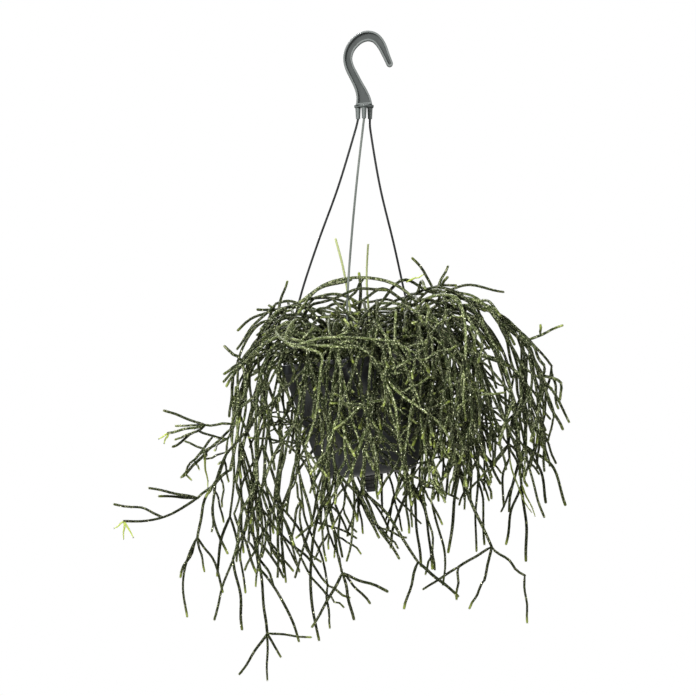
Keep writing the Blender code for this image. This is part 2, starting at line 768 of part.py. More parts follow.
def round_bar(radius, low, high, place, low_radius=None):
    """An upright round bar or cone as a new object, for a cutter or a socket."""
    bm = bmesh.new()
    bmesh.ops.create_cone(
        bm, cap_ends=True, segments=SMALL_SIDES, radius1=low_radius or radius, radius2=radius,
        depth=high - low, matrix=Matrix.Translation((place[0], place[1], (low + high) / 2)),
    )
    return new_object("bar", mesh_of("bar", bm))


def on_ring(radius, angle_deg):
    angle = math.radians(angle_deg)
    return Vector((radius * math.cos(angle), radius * math.sin(angle), 0))


def ear_blank(angle):
    """An ear before its hole is cut: a block on the lip with its outer corners rounded."""
    bm = bmesh.new()
    bmesh.ops.create_cube(bm, size=1)
    bmesh.ops.scale(bm, vec=EAR_SIZE, verts=bm.verts)
    outer = [edge for edge in bm.edges if all(v.co.x > 0 for v in edge.verts)]
    upright = [edge for edge in outer if edge.verts[0].co.y == edge.verts[1].co.y]
    bmesh.ops.bevel(bm, geom=upright, offset=EAR_ROUND, segments=3, affect="EDGES", profile=0.5)
    place = (EAR_RADIUS - EAR_INSET, 0, -EAR_BELOW_RIM - EAR_SIZE.z / 2)
    bmesh.ops.translate(bm, vec=place, verts=bm.verts)
    turn = Matrix.Rotation(math.radians(angle), 3, "Z")
    bmesh.ops.rotate(bm, cent=(0, 0, 0), matrix=turn, verts=bm.verts)
    return new_object("ear", mesh_of("ear", bm))


def build_pot(frame, look):
    """The pot with its lip, the three ears and the drain holes."""
    base, floor = -POT_HEIGHT, -POT_HEIGHT + WALL
    inner_base = BASE_RADIUS - WALL
    profile = [
        (PLUG_NECK_RADIUS + GAP, base),
        (BASE_RADIUS - BASE_ROUND, base),
        (BASE_RADIUS - 0.3 * BASE_ROUND, base + 0.3 * BASE_ROUND),
        (BASE_RADIUS + BASE_FLARE, base + BASE_ROUND),
        (WALL_TOP_RADIUS, -LIP_HEIGHT),
        (RIM_RADIUS - 0.4 * LIP_ROUND, -LIP_HEIGHT),
        (RIM_RADIUS, -LIP_HEIGHT + 0.6 * LIP_ROUND),
        (RIM_RADIUS, -LIP_ROUND),
        (RIM_RADIUS - LIP_ROUND, 0),
        (RIM_RADIUS - LIP_THICK + LIP_ROUND, 0),
        (RIM_RADIUS - LIP_THICK, -LIP_ROUND),
        (WALL_TOP_RADIUS - WALL, -LIP_HEIGHT),
        (inner_base + BASE_FLARE, base + BASE_ROUND),
        (inner_base - 0.3 * BASE_ROUND, floor + 0.25 * BASE_ROUND),
        (inner_base - BASE_ROUND, floor),
        (PLUG_NECK_RADIUS + GAP, floor),
    ]
    pot = new_object("pot", lathed("pot", profile, POT_SIDES))
    combined(pot, [ear_blank(angle) for angle in EAR_ANGLES_DEG.values()], "UNION")
    holes = [
        round_bar(EAR_HOLE_RADIUS, -2 * LIP_HEIGHT, LIP_HEIGHT, on_ring(EAR_RADIUS, angle))
        for angle in EAR_ANGLES_DEG.values()
    ]
    for i in range(DRAIN_HOLES):
        place = on_ring(DRAIN_RING_RADIUS, 45 + 360 * i / DRAIN_HOLES)
        holes.append(round_bar(DRAIN_HOLE_RADIUS, base - WALL, floor + WALL, place))
    combined(pot, holes, "DIFFERENCE")
    finish(pot, look, frame)


def build_plug(frame, look):
    """The hollow drain plug: a neck in the base's hole, a flange below it and a tapered spout."""
    top = -POT_HEIGHT - GAP
    profile = [
        (PLUG_BORE_RADIUS, top - PLUG_LENGTH),
        (PLUG_TIP_RADIUS, top - PLUG_LENGTH),
        (PLUG_RADIUS - 1.5 * MM, top - 1.2 * PLUG_FLANGE),
        (PLUG_RADIUS, top - PLUG_FLANGE),
        (PLUG_RADIUS, top),
        (PLUG_NECK_RADIUS, top),
        (PLUG_NECK_RADIUS, top + WALL),
        (PLUG_BORE_RADIUS, top + WALL),
    ]
    finish(new_object("drain_plug", lathed("drain_plug", profile, PLUG_SIDES)), look, frame)


def build_soil(frame, look, sprays):
    """The soil, with a plain hole for each spray's foot."""
    base, floor = -POT_HEIGHT, -POT_HEIGHT + WALL + GAP
    inset = WALL + 1.6 * GAP
    middle = 0.6 * WALL_TOP_RADIUS
    profile = [
        (0, floor),
        (BASE_RADIUS - inset - BASE_ROUND, floor),
        (BASE_RADIUS - inset - 0.3 * BASE_ROUND, floor + 0.25 * BASE_ROUND),
        (BASE_RADIUS - inset + BASE_FLARE, base + BASE_ROUND),
        (wall_radius(SOIL_BELOW_RIM) - inset, -SOIL_BELOW_RIM),
        (middle, -soil_level(middle)),
        (0, -soil_level(0)),
    ]
    soil = new_object("soil", lathed("soil", profile, SOIL_SIDES))
    soil.data.transform(POT_FRAME)
    cutters = []
    for spray in sprays.values():
        points, radii = chain_tube(spray.stems, chains(spray.stems)[0])
        along = unit(points[1] - points[0])
        ends = np.array([points[0] - along * GAP, points[0] + along * 2.5 * ROOT_DEPTH])
        cutters.append(new_object("hole", tube_mesh("hole", ends, [radii[0] + 2 * GAP] * 2, STEM_SIDES)))
    combined(soil, cutters, "DIFFERENCE")
    soil.data.transform(POT_FRAME.inverted())
    finish(soil, look, frame)


def hook_outline():
    """The hook's outline in its own plane, as (x, z) pairs: down one side, round the tip and back."""
    line = smooth_curve([(x * MM, half * MM, z * MM) for x, z, half in HOOK_LINE], HOOK_SPANS)
    middle, half = line[:, [0, 2]], line[:, 1]
    along = np.gradient(middle, axis=0)
    along /= np.linalg.norm(along, axis=1)[:, None]
    across = np.column_stack([-along[:, 1], along[:, 0]])
    outer = middle + across * half[:, None]
    inner = middle - across * half[:, None]
    tip = [
        middle[0] - along[0] * half[0] * math.cos(a) - across[0] * half[0] * math.sin(a)
        for a in np.linspace(-math.pi / 2, math.pi / 2, 7)[1:-1]
    ]
    return [*outer[::-1], *tip, *inner]


def sink_web(bm, side):
    """Sinks one flat face of the hook inside its edge, which leaves the web between two flanges."""
    for pressed in (False, True):
        flat = [f for f in bm.faces if len(f.verts) > SMALL_SIDES and f.calc_center_median().y * side > 0]
        if pressed:
            depth = (HOOK_DEPTH - HOOK_WEB) / 2
            bmesh.ops.translate(bm, vec=(0, -side * depth, 0), verts=flat[0].verts)
        else:
            bmesh.ops.inset_region(bm, faces=flat, thickness=HOOK_FLANGE, use_even_offset=True)


def plate_blank():
    """The three-cornered plate under the hook, with its corners rounded."""
    bm = bmesh.new()
    bmesh.ops.create_cone(
        bm, cap_ends=True, segments=3, radius1=PLATE_CORNER_RADIUS, radius2=PLATE_CORNER_RADIUS,
        depth=PLATE_THICK, matrix=Matrix.Rotation(math.pi, 4, "Z"),
    )
    upright = [e for e in bm.edges if abs(e.verts[0].co.z - e.verts[1].co.z) > PLATE_THICK / 2]
    bmesh.ops.bevel(bm, geom=upright, offset=PLATE_ROUND, segments=3, affect="EDGES", profile=0.5)
    bmesh.ops.translate(bm, vec=PLATE_CENTRE, verts=bm.verts)
    return new_object("plate", mesh_of("plate", bm))


def build_hook(look):
    """The hook, its plate and its three sockets, moulded in one."""
    bm = bmesh.new()
    face = bm.faces.new([bm.verts.new((x, -HOOK_DEPTH / 2, z)) for x, z in hook_outline()])
    back = bmesh.ops.extrude_face_region(bm, geom=[face])
    moved = [v for v in back["geom"] if isinstance(v, bmesh.types.BMVert)]
    bmesh.ops.translate(bm, vec=(0, HOOK_DEPTH, 0), verts=moved)
    bmesh.ops.recalc_face_normals(bm, faces=bm.faces)
    for side in (-1, 1):
        sink_web(bm, side)
    hook = new_object("hanger_hook", mesh_of("hanger_hook", bm))
    mouth = PLATE_CENTRE.z - PLATE_THICK - SOCKET_LENGTH
    places = [PLATE_CENTRE + on_ring(SOCKET_RING_RADIUS, angle) for angle in SOCKET_ANGLES_DEG.values()]
    sockets = [round_bar(SOCKET_RADII[0], mouth, PLATE_CENTRE.z, place, SOCKET_RADII[1]) for place in places]
    combined(hook, [plate_blank(), *sockets], "UNION")
    bore_top = PLATE_CENTRE.z - SOCKET_BORE_TOP
    bores = [round_bar(SOCKET_BORE_RADIUS, mouth - SOCKET_LENGTH, bore_top, place) for place in places]
    combined(hook, bores, "DIFFERENCE")
    finish(hook, look)


def strand_line(side):
    """The middle of a strand, from inside its socket to its button."""
    socket = PLATE_CENTRE + on_ring(SOCKET_RING_RADIUS, SOCKET_ANGLES_DEG[side])
    top = socket - Vector((0, 0, SOCKET_BORE_TOP + 2 * GAP))
    mouth = socket - Vector((0, 0, PLATE_THICK + SOCKET_LENGTH))
    ear = on_ring(EAR_RADIUS, EAR_ANGLES_DEG[side])
    over_ear = POT_FRAME @ (ear + Vector((0, 0, LIP_ROUND)))
    in_button = POT_FRAME @ (ear - Vector((0, 0, EAR_SIZE.z + 2 * MM)))
    hanging_part = [mouth, *[Vector(point) * MM for point in STRAND_ROUTES[side]], over_ear]
    return np.vstack([[top], smooth_curve(hanging_part, STRAND_SPANS), [in_button]])


def build_strand(side, look):
    """One strand, with the round button that holds it under its ear."""
    line = strand_line(side)
    name = f"hanger_strand_{side}"
    strand = new_object(name, tube_mesh(name, line, [STRAND_RADIUS] * len(line), STRAND_SIDES))
    top = -EAR_BELOW_RIM - EAR_SIZE.z - GAP
    profile = [
        (0, top - BUTTON_LENGTH),
        (0.55 * BUTTON_RADIUS, top - 0.85 * BUTTON_LENGTH),
        (BUTTON_RADIUS, top - 0.3 * BUTTON_LENGTH),
        (0.9 * BUTTON_RADIUS, top),
        (0, top),
    ]
    button = new_object("button", lathed("button", profile, SMALL_SIDES))
    button.data.transform(POT_FRAME @ Matrix.Translation(on_ring(EAR_RADIUS, EAR_ANGLES_DEG[side])))
    combined(strand, [button], "UNION")
    finish(strand, look)


def chains(stems):
    """The numbers of the stems in each run that one tube can follow.

    A stem and the straightest of those that grow from its tip share a tube, so few tubes cross there.
    """
    heirs = {}
    for number, stem in enumerate(stems):
        if stem.parent >= 0 and stem.at_tip:
            before = stems[stem.parent].points
            turn = -np.dot(unit(before[-1] - before[-2]), unit(stem.points[1] - stem.points[0]))
            heirs.setdefault(stem.parent, []).append((turn, number))
    heirs = {parent: min(found)[1] for parent, found in heirs.items()}
    runs = []
    for number in range(len(stems)):
        if number not in heirs.values():
            run = [number]
            while run[-1] in heirs:
                run.append(heirs[run[-1]])
            runs.append(run)
    return runs


def chain_tube(stems, run):
    """The middle line and the radii of a tube that follows a run of stems."""
    first = stems[run[0]]
    points = [first.points[0]]
    radii = [first.radius if first.parent < 0 else NECK_SHARE * first.radius]
    for number in run:
        stem = stems[number]
        points.extend(stem.points[1:])
        radii.extend([stem.radius] * (len(stem.points) - 2) + [WAIST_SHARE * stem.radius])
    radii[-1] = TIP_SHARE * stems[run[-1]].radius
    return np.array(points), radii


def build_spray(name, spray, look):
    """All stems of one spray, fused into one solid."""
    tubes = []
    for run in chains(spray.stems):
        points, radii = chain_tube(spray.stems, run)
        tubes.append(new_object(name, tube_mesh(name, points, radii, STEM_SIDES)))
    if len(tubes) > 1:
        combined(tubes[0], tubes[1:], "UNION", "MANIFOLD")
    tubes[0].name = name
    finish(tubes[0], look)


def hanger_in_the_way():
    """A thicket that holds only the strands and the ears, which the stems grow round."""
    thicket = Thicket()
    for side, angle in EAR_ANGLES_DEG.items():
        thicket.add(strand_line(side), STRAND_RADIUS, 0)
        ear = on_ring(EAR_RADIUS, angle) - Vector((0, 0, EAR_SIZE.z))
        below = ear - Vector((0, 0, BUTTON_LENGTH))
        thicket.add([POT_FRAME @ ear, POT_FRAME @ below], EAR_CLEARANCE, 0)
    return thicket


def build():
    clear_scene()
    pot_plastic = material("pot_charcoal", (0.018, 0.019, 0.021), 0.45)
    hanger_plastic = material("hanger_grey", (0.16, 0.18, 0.175), 0.5)
    strand_plastic = material("strand_black", (0.02, 0.023, 0.021), 0.4)
    peat = material("peat", (0.035, 0.022, 0.014), 0.95)
    green = material("stem_green", (0.07, 0.095, 0.03), 0.7)
    light_green = material("young_green", (0.4, 0.5, 0.1), 0.65)
    frame = bpy.data.objects.new("pot_frame", None)
    bpy.context.scene.collection.objects.link(frame)
    frame.matrix_world = POT_FRAME

    sprays = grow_plant(hanger_in_the_way())
    build_pot(frame, pot_plastic)
    build_plug(frame, pot_plastic)
    build_soil(frame, peat, sprays)
    build_hook(hanger_plastic)
    for side in EAR_ANGLES_DEG:
        build_strand(side, hanger_plastic if side == "front" else strand_plastic)
    for name, spray in sprays.items():
        build_spray(name, spray, light_green if name in YOUNG_SHOOTS else green)


build()
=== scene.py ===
import json
import math
import random
from collections import namedtuple

import bmesh
import bpy
import numpy as np
from mathutils import Matrix, Vector

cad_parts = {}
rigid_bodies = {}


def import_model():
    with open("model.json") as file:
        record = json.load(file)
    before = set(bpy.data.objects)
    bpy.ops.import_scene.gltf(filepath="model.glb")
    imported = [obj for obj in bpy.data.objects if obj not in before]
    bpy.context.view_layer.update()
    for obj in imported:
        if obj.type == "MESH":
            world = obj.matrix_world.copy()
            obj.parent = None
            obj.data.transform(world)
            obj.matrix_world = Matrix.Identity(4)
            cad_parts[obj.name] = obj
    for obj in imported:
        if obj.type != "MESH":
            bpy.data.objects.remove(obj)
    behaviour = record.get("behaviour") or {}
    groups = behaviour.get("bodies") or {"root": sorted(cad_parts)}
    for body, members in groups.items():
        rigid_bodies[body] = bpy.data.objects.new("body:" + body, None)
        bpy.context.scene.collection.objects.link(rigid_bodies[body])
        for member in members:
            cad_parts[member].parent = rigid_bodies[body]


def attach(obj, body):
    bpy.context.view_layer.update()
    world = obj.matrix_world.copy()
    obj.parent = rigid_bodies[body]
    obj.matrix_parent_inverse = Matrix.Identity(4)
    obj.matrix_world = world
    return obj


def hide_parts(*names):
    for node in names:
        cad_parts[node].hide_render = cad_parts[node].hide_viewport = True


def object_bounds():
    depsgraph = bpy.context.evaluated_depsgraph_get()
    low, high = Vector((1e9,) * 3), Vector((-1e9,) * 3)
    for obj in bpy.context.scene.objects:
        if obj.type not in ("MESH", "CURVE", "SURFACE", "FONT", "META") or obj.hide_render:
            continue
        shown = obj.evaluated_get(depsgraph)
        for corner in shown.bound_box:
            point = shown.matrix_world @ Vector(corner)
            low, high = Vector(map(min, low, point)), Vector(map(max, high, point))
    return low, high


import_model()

cadLow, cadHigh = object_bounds()
mm = 0.001
goldenAngle = math.radians(137.508)


def tell(words):
    print("hanging plant:", words)


# Studio: the camera looks straight at the plant from a long way off
studio = {
    "lens": 150,
    "sensor": 36,  # mm across
    "aim": (-18 * mm, 0, -276.3 * mm),
    "viewWidth": 626.4 * mm,
    "floorHeight": -2000 * mm,
    "floorRadius": 2600 * mm,
    "backdrop": "#ffffff",
    "floor": "#f4f3f0",
    "roomLight": 0.05,
    # Where each light stands, its width and its power in watts
    "lights": {
        "key": ((-0.95, -2.0, 0.75), 0.25, 240),
        "fill": ((0.6, -3.2, 0.3), 0.9, 120),
        "right": ((2.3, 0.2, 0.8), 0.8, 80),
        "left": ((-2.4, 0.6, 0.6), 0.8, 55),
        "back": ((-0.5, 2.3, 1.0), 0.8, 200),
    },
}


def fromHex(code):  # an sRGB hex value, in the linear values that Blender works in
    parts = [int(code[i : i + 2], 16) / 255 for i in (1, 3, 5)]
    return (*[c / 12.92 if c <= 0.04045 else ((c + 0.055) / 1.055) ** 2.4 for c in parts], 1)


def joinUp(tree, node, links):  # a link comes from a socket, or from a node's first output
    for key, source in links.items():
        tree.links.new(source.outputs[0] if hasattr(source, "outputs") else source, node.inputs[key])


def addNode(tree, kind, settings=None, links=None):
    node = tree.nodes.new("ShaderNode" + kind)
    for key, value in (settings or {}).items():
        if key == "stops":
            while len(node.color_ramp.elements) < len(value):
                node.color_ramp.elements.new(1)
            for element, (place, colour) in zip(node.color_ramp.elements, value):
                element.position, element.color = place, fromHex(colour)
        elif isinstance(key, int) or key in node.inputs:
            node.inputs[key].default_value = value
        else:
            setattr(node, key, value)
    joinUp(tree, node, links or {})
    return node


def newMaterial(name, settings):
    material = bpy.data.materials.new(name)
    material.use_nodes = True
    shader = material.node_tree.nodes["Principled BSDF"]
    for key, value in settings.items():
        shader.inputs[key].default_value = value
    return material, material.node_tree, shader


def buildStudio():
    bpy.ops.object.select_all(action="DESELECT")
    aim = Vector(studio["aim"])
    back = studio["viewWidth"] * studio["lens"] / studio["sensor"]
    bpy.ops.object.camera_add(location=aim - Vector((0, back, 0)), rotation=(math.pi / 2, 0, 0))
    camera = bpy.context.object
    camera.data.lens = studio["lens"]
    camera.data.clip_start = 10 * mm
    bpy.context.scene.camera = camera
    for name, (place, size, power) in studio["lights"].items():
        bpy.ops.object.light_add(type="AREA", location=place)
        light = bpy.context.object
        light.name, light.data.size, light.data.energy = name, size, power
        light.rotation_euler = (aim - light.location).to_track_quat("-Z", "Y").to_euler()

    # The camera sees a white backdrop, but the room casts only a little light
    bpy.context.scene.view_settings.view_transform = "Standard"
    world = bpy.data.worlds.new("studio")
    world.use_nodes = True
    tree = world.node_tree
    tree.nodes.clear()
    white = fromHex(studio["backdrop"])
    seen = addNode(tree, "Background", {"Color": white, "Strength": 1})
    cast = addNode(tree, "Background", {"Color": white, "Strength": studio["roomLight"]})
    rays = addNode(tree, "LightPath").outputs["Is Camera Ray"]
    both = addNode(tree, "MixShader", links={0: rays, 1: cast, 2: seen})
    addNode(tree, "OutputWorld", links={"Surface": both})
    bpy.context.scene.world = world

    bpy.ops.mesh.primitive_circle_add(
        vertices=96, radius=studio["floorRadius"], fill_type="NGON",
        location=(0, 0, studio["floorHeight"]),
    )
    floor = bpy.context.object
    floor.name = "studio_floor"
    matt = {"Base Color": fromHex(studio["floor"]), "Roughness": 0.9}
    floor.data.materials.append(newMaterial("matt white paper", matt)[0])
    tell("camera, lights and floor are set")


buildStudio()


def mouldedPlastic(name, shades, roughness, shine, dust="#000000", dustShare=0.0):
    # Injection-moulded polypropylene: an even, slightly waxy surface with broad soft highlights,
    # faint flow streaks and the fine grain of the mould
    material, tree, shader = newMaterial(name, {"IOR": 1.49, "Specular IOR Level": shine})
    place = addNode(tree, "TexCoord").outputs["Object"]
    streaks = addNode(tree, "Mapping", {"Scale": (1, 1, 0.25)}, {"Vector": place})
    flow = addNode(tree, "TexNoise", {"Scale": 1 / (14 * mm), "Detail": 4}, {"Vector": streaks})
    colour = addNode(tree, "ValToRGB", {"stops": list(zip((0.3, 0.5, 0.7), shades))}, {"Fac": flow})
    # Peat dust and dried water, in specks a millimetre or two across
    speckSize = {"Scale": 1 / (1.6 * mm), "Detail": 5, "Roughness": 0.7}
    specks = addNode(tree, "TexNoise", speckSize, {"Vector": place})
    patches = addNode(tree, "TexNoise", {"Scale": 1 / (22 * mm), "Detail": 2}, {"Vector": place})
    both = addNode(tree, "Math", {"operation": "MULTIPLY"}, {0: specks, 1: patches})
    dusting = {"From Min": 0.24, "From Max": 0.42, "To Max": dustShare}
    dusty = addNode(tree, "MapRange", dusting, {"Value": both})
    mixed = addNode(tree, "Mix", {"data_type": "RGBA", 7: fromHex(dust)}, {0: dusty, 6: colour})
    wearing = {"From Min": 0.3, "From Max": 0.7, "To Min": roughness - 0.07, "To Max": roughness + 0.1}
    wear = addNode(tree, "MapRange", wearing, {"Value": patches})
    # The grain is 0.4 mm; a real one is finer, but would not show
    grain = addNode(tree, "TexNoise", {"Scale": 1 / (0.4 * mm), "Detail": 2}, {"Vector": place})
    bump = addNode(tree, "Bump", {"Strength": 0.35, "Distance": 0.05 * mm}, {"Height": grain})
    joinUp(tree, shader, {"Base Color": mixed.outputs[2], "Roughness": wear, "Normal": bump})
    return material


def potPeat():
    # Moist coir and peat: dark brown crumbs with paler fibres, quite matt
    material, tree, shader = newMaterial(
        "moist peat and bark", {"Roughness": 0.93, "Specular IOR Level": 0.25}
    )
    place = addNode(tree, "TexCoord").outputs["Object"]
    crumbs = addNode(tree, "TexVoronoi", {"Scale": 1 / (2.2 * mm)}, {"Vector": place})
    fibreSize = {"Scale": 1 / (3 * mm), "Detail": 6, "Roughness": 0.7}
    fibres = addNode(tree, "TexNoise", fibreSize, {"Vector": place})
    colours = {6: crumbs.outputs["Color"], 7: fibres.outputs[1]}
    spread = addNode(tree, "Mix", {"data_type": "RGBA", 0: 0.45}, colours)
    browns = [(0.25, "#120c07"), (0.5, "#2c1d12"), (0.66, "#4a3420"), (0.8, "#6b5336")]
    colour = addNode(tree, "ValToRGB", {"stops": browns}, {"Fac": spread.outputs[2]})
    bump = addNode(tree, "Bump", {"Strength": 0.8, "Distance": 0.6 * mm}, {"Height": fibres})
    joinUp(tree, shader, {"Base Color": colour, "Normal": bump})
    return material


# The shades run from a stem in the dark to one in full light
stemColours = {
    "stem": {
        "shades": [(0.0, "#050800"), (0.4, "#0f1604"), (1.0, "#434b28")],
        "fresh": "#6f7a34", "nap": "#c2c69e",
    },
    "shoot": {
        "shades": [(0.0, "#4c5236"), (0.5, "#5a6041"), (1.0, "#6b7150")],
        "fresh": "#696f47", "nap": "#8d9270",
    },
    "bristle": [(0.0, "#1e220e"), (0.55, "#7d8354"), (0.8, "#d2d5ac"), (1.0, "#fdfdee")],
    "shootBristle": [(0.0, "#6f7450"), (0.5, "#8a8e6c"), (1.0, "#aeb096")],
    "napShare": 0.6,
}


def stemSkin(name, roughness, shades, fresh, nap):
    # The skin of a living stem: matt olive green, brighter where it is fresh, under a short grey nap
    material, tree, shader = newMaterial(
        name, {"IOR": 1.42, "Specular IOR Level": 0.06, "Roughness": roughness}
    )
    place = addNode(tree, "TexCoord").outputs["Object"]
    tone = addNode(tree, "Attribute", {"attribute_name": "tone"}).outputs["Fac"]
    age = addNode(tree, "Attribute", {"attribute_name": "fresh"}).outputs["Fac"]
    mottle = addNode(tree, "TexNoise", {"Scale": 1 / (6 * mm), "Detail": 3}, {"Vector": place})
    shifting = {"From Min": 0.3, "From Max": 0.7, "To Min": -0.25, "To Max": 0.25}
    shifted = addNode(tree, "MapRange", shifting, {"Value": mottle})
    summed = addNode(tree, "Math", {"operation": "ADD"}, {0: tone, 1: shifted})
    # The tone is painted light and shade, from a stem in shadow to one in full light, with a real mottle
    # added to it
    old = addNode(tree, "ValToRGB", {"stops": shades}, {"Fac": summed})
    green = addNode(tree, "Mix", {"data_type": "RGBA", 7: fromHex(fresh)}, {0: age, 6: old})
    # The nap shows as pale flecks about a millimetre long, more of them on a stem painted as lit, where
    # they are painted highlight as well as real nap
    fleckSize = {"Scale": 1 / (1.2 * mm), "Detail": 3, "Roughness": 0.6}
    flecks = addNode(tree, "TexNoise", fleckSize, {"Vector": place})
    napShare = stemColours["napShare"]
    napping = {"To Min": 0.08 * napShare, "To Max": 0.9 * napShare}
    most = addNode(tree, "MapRange", napping, {"Value": tone})
    fleckEdge = {"From Min": 0.54, "From Max": 0.61}
    share = addNode(tree, "MapRange", fleckEdge, {"Value": flecks, "To Max": most})
    napped = {0: share, 6: green.outputs[2]}
    skin = addNode(tree, "Mix", {"data_type": "RGBA", 7: fromHex(nap)}, napped)
    bump = addNode(tree, "Bump", {"Strength": 0.6, "Distance": 0.2 * mm}, {"Height": flecks})
    joinUp(tree, shader, {"Base Color": skin.outputs[2], "Normal": bump})
    return material


def bristleHair(name, roughness, shades):
    # Fine dry hairs, straw grey at their tips, that catch the light; their tone is partly painted light,
    # brighter on a stem painted as lit
    material, tree, shader = newMaterial(
        name, {"IOR": 1.5, "Specular IOR Level": 0.15, "Roughness": roughness}
    )
    tone = addNode(tree, "Attribute", {"attribute_name": "tone"}).outputs["Fac"]
    colour = addNode(tree, "ValToRGB", {"stops": shades}, {"Fac": tone})
    joinUp(tree, shader, {"Base Color": colour})
    return material


# Each plastic: its three shades, roughness and shine, and for the pot its dust
plastics = {
    "hook": ("mid grey", ("#242827", "#2a2e2c", "#313534"), 0.5, 0.25),
    # The web's plastic is a little rougher, and darker as painted shade in the hook's recess
    "hookWebShade": ("grey web with a rough grain", ("#151817", "#1a1d1c", "#202322"), 0.62, 0.16),
    "strand": ("black", ("#090a0a", "#0d0e0e", "#121413"), 0.55, 0.1),
    "paleStrand": ("pale grey", ("#2b2f2b", "#343834", "#3e423e"), 0.55, 0.12),
    # The pot is charcoal, painted darker still as the shade of the stems that hang over it
    "pot": ("charcoal", ("#0a0b0c", "#0e1011", "#131517"), 0.55, 0.2, "#45423a", 0.3),
}
looks = {
    look: mouldedPlastic("moulded polypropylene, " + shade, *finish)
    for look, (shade, *finish) in plastics.items()
}
looks["peat"] = potPeat()
looks["stem"] = stemSkin("stem skin, olive with grey nap", 0.72, **stemColours["stem"])
looks["bristle"] = bristleHair("bristles, straw grey", 0.6, stemColours["bristle"])
looks["shoot"] = stemSkin("young stem skin, yellow green", 0.6, **stemColours["shoot"])
looks["shootBristle"] = bristleHair("young bristles, cream", 0.55, stemColours["shootBristle"])
tell("materials are mixed")


def startAt(adder, **sizes):  # adds a primitive alone and opens it for editing, all of it selected
    bpy.ops.object.select_all(action="DESELECT")
    adder(enter_editmode=True, align="WORLD", **sizes)
    return bpy.context.object


def pick(*pieces):  # selects these alone, with the last one active
    bpy.ops.object.select_all(action="DESELECT")
    for piece in pieces:
        piece.select_set(True)
    bpy.context.view_layer.objects.active = pieces[-1]


def selectWhere(kind, wanted):
    mesh = bpy.context.object.data
    form = bmesh.from_edit_mesh(mesh)
    bpy.ops.mesh.select_mode(type=kind)
    bpy.ops.mesh.select_all(action="DESELECT")
    for item in {"EDGE": form.edges, "FACE": form.faces}[kind]:
        if wanted(item):
            item.select = True
    form.select_flush_mode()
    bmesh.update_edit_mesh(mesh)


def turn(angle, axis, centre):  # with no window the operator turns the other way
    bpy.ops.transform.rotate(value=-angle, orient_axis=axis, center_override=centre)


def closeUp(merge=0.002 * mm):
    bpy.ops.mesh.select_all(action="SELECT")
    bpy.ops.mesh.remove_doubles(threshold=merge)
    bpy.ops.mesh.normals_make_consistent(inside=False)
    bpy.ops.object.mode_set(mode="OBJECT")
    bpy.ops.object.transform_apply(location=True, rotation=True, scale=True)


def applyModifier(piece, kind, **settings):
    modifier = piece.modifiers.new(kind.lower(), kind)
    for key, value in settings.items():
        setattr(modifier, key, value)
    bpy.context.view_layer.objects.active = piece
    bpy.ops.object.modifier_apply(modifier=modifier.name)


def easeEdges(piece, width):
    angle = math.radians(50)
    applyModifier(piece, "BEVEL", width=width, segments=2, limit_method="ANGLE", angle_limit=angle)


def makeOne(base, others):  # joins finished shapes into the base as they are
    pick(*others, base)
    bpy.ops.object.join()


def booleanWith(piece, tools, operation):
    for tool in tools:
        applyModifier(piece, "BOOLEAN", object=tool, operation=operation, solver="EXACT")
        bpy.data.objects.remove(tool)


def finishPiece(piece, name, materials, slot, *nodes, smoothAngle=35):
    pick(piece)
    bpy.ops.object.transform_apply(location=True, rotation=True, scale=True)
    bpy.ops.object.shade_smooth_by_angle(angle=math.radians(smoothAngle))
    piece.name = piece.data.name = name
    for material in materials:
        piece.data.materials.append(material)
    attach(piece, "root")
    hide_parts(*nodes)


def turned(profile, sides):  # a ring, drawn out from point to point of a (radius, height) profile
    radius, height = profile[0]
    ring = {"vertices": sides, "radius": radius, "location": (0, 0, height)}
    piece = startAt(bpy.ops.mesh.primitive_circle_add, **ring)
    for nextRadius, nextHeight in profile[1:]:
        bpy.ops.mesh.extrude_region_move(TRANSFORM_OT_translate={"value": (0, 0, nextHeight - height)})
        share = nextRadius / radius
        bpy.ops.transform.resize(value=(share, share, 1), center_override=(0, 0, nextHeight))
        radius, height = nextRadius, nextHeight
    return piece


def onRing(radius, angleDeg, height=0):
    angle = math.radians(angleDeg)
    return Vector((radius * math.cos(angle), radius * math.sin(angle), height))


def arc(centre, radius, fromDeg, toDeg, steps):  # points on an arc of a profile, as (radius, height)
    angles = np.radians(np.linspace(fromDeg, toDeg, steps + 1))
    return [(centre[0] + radius * math.cos(a), centre[1] + radius * math.sin(a)) for a in angles]


def smoothCurve(points, count):  # evenly spaced points on a smooth curve through the given ones
    knots = np.array(points, float)
    if len(knots) == 2:
        share = np.linspace(0, 1, count + 1)[:, None]
        return knots[0] + (knots[1] - knots[0]) * share
    padded = np.vstack([2 * knots[0] - knots[1], knots, 2 * knots[-1] - knots[-2]])
    fine = []
    for i in range(len(knots) - 1):
        a, b, c, d = padded[i : i + 4]
        t = np.linspace(0, 1, 12, endpoint=False)[:, None]
        squared = (2 * a - 5 * b + 4 * c - d) * t**2
        cubed = (3 * b - a - 3 * c + d) * t**3
        fine.append(b + ((c - a) * t + squared + cubed) / 2)
    fine = np.vstack([*fine, knots[-1:]])
    run = runAlong(fine)
    wanted = np.linspace(0, run[-1], count + 1)
    return np.column_stack([np.interp(wanted, run, fine[:, k]) for k in range(3)])


def runAlong(points):  # how far along a polyline each of its points lies
    return np.concatenate([[0], np.cumsum(np.linalg.norm(np.diff(points, axis=0), axis=1))])


def unit(vector):
    return vector / np.linalg.norm(vector)


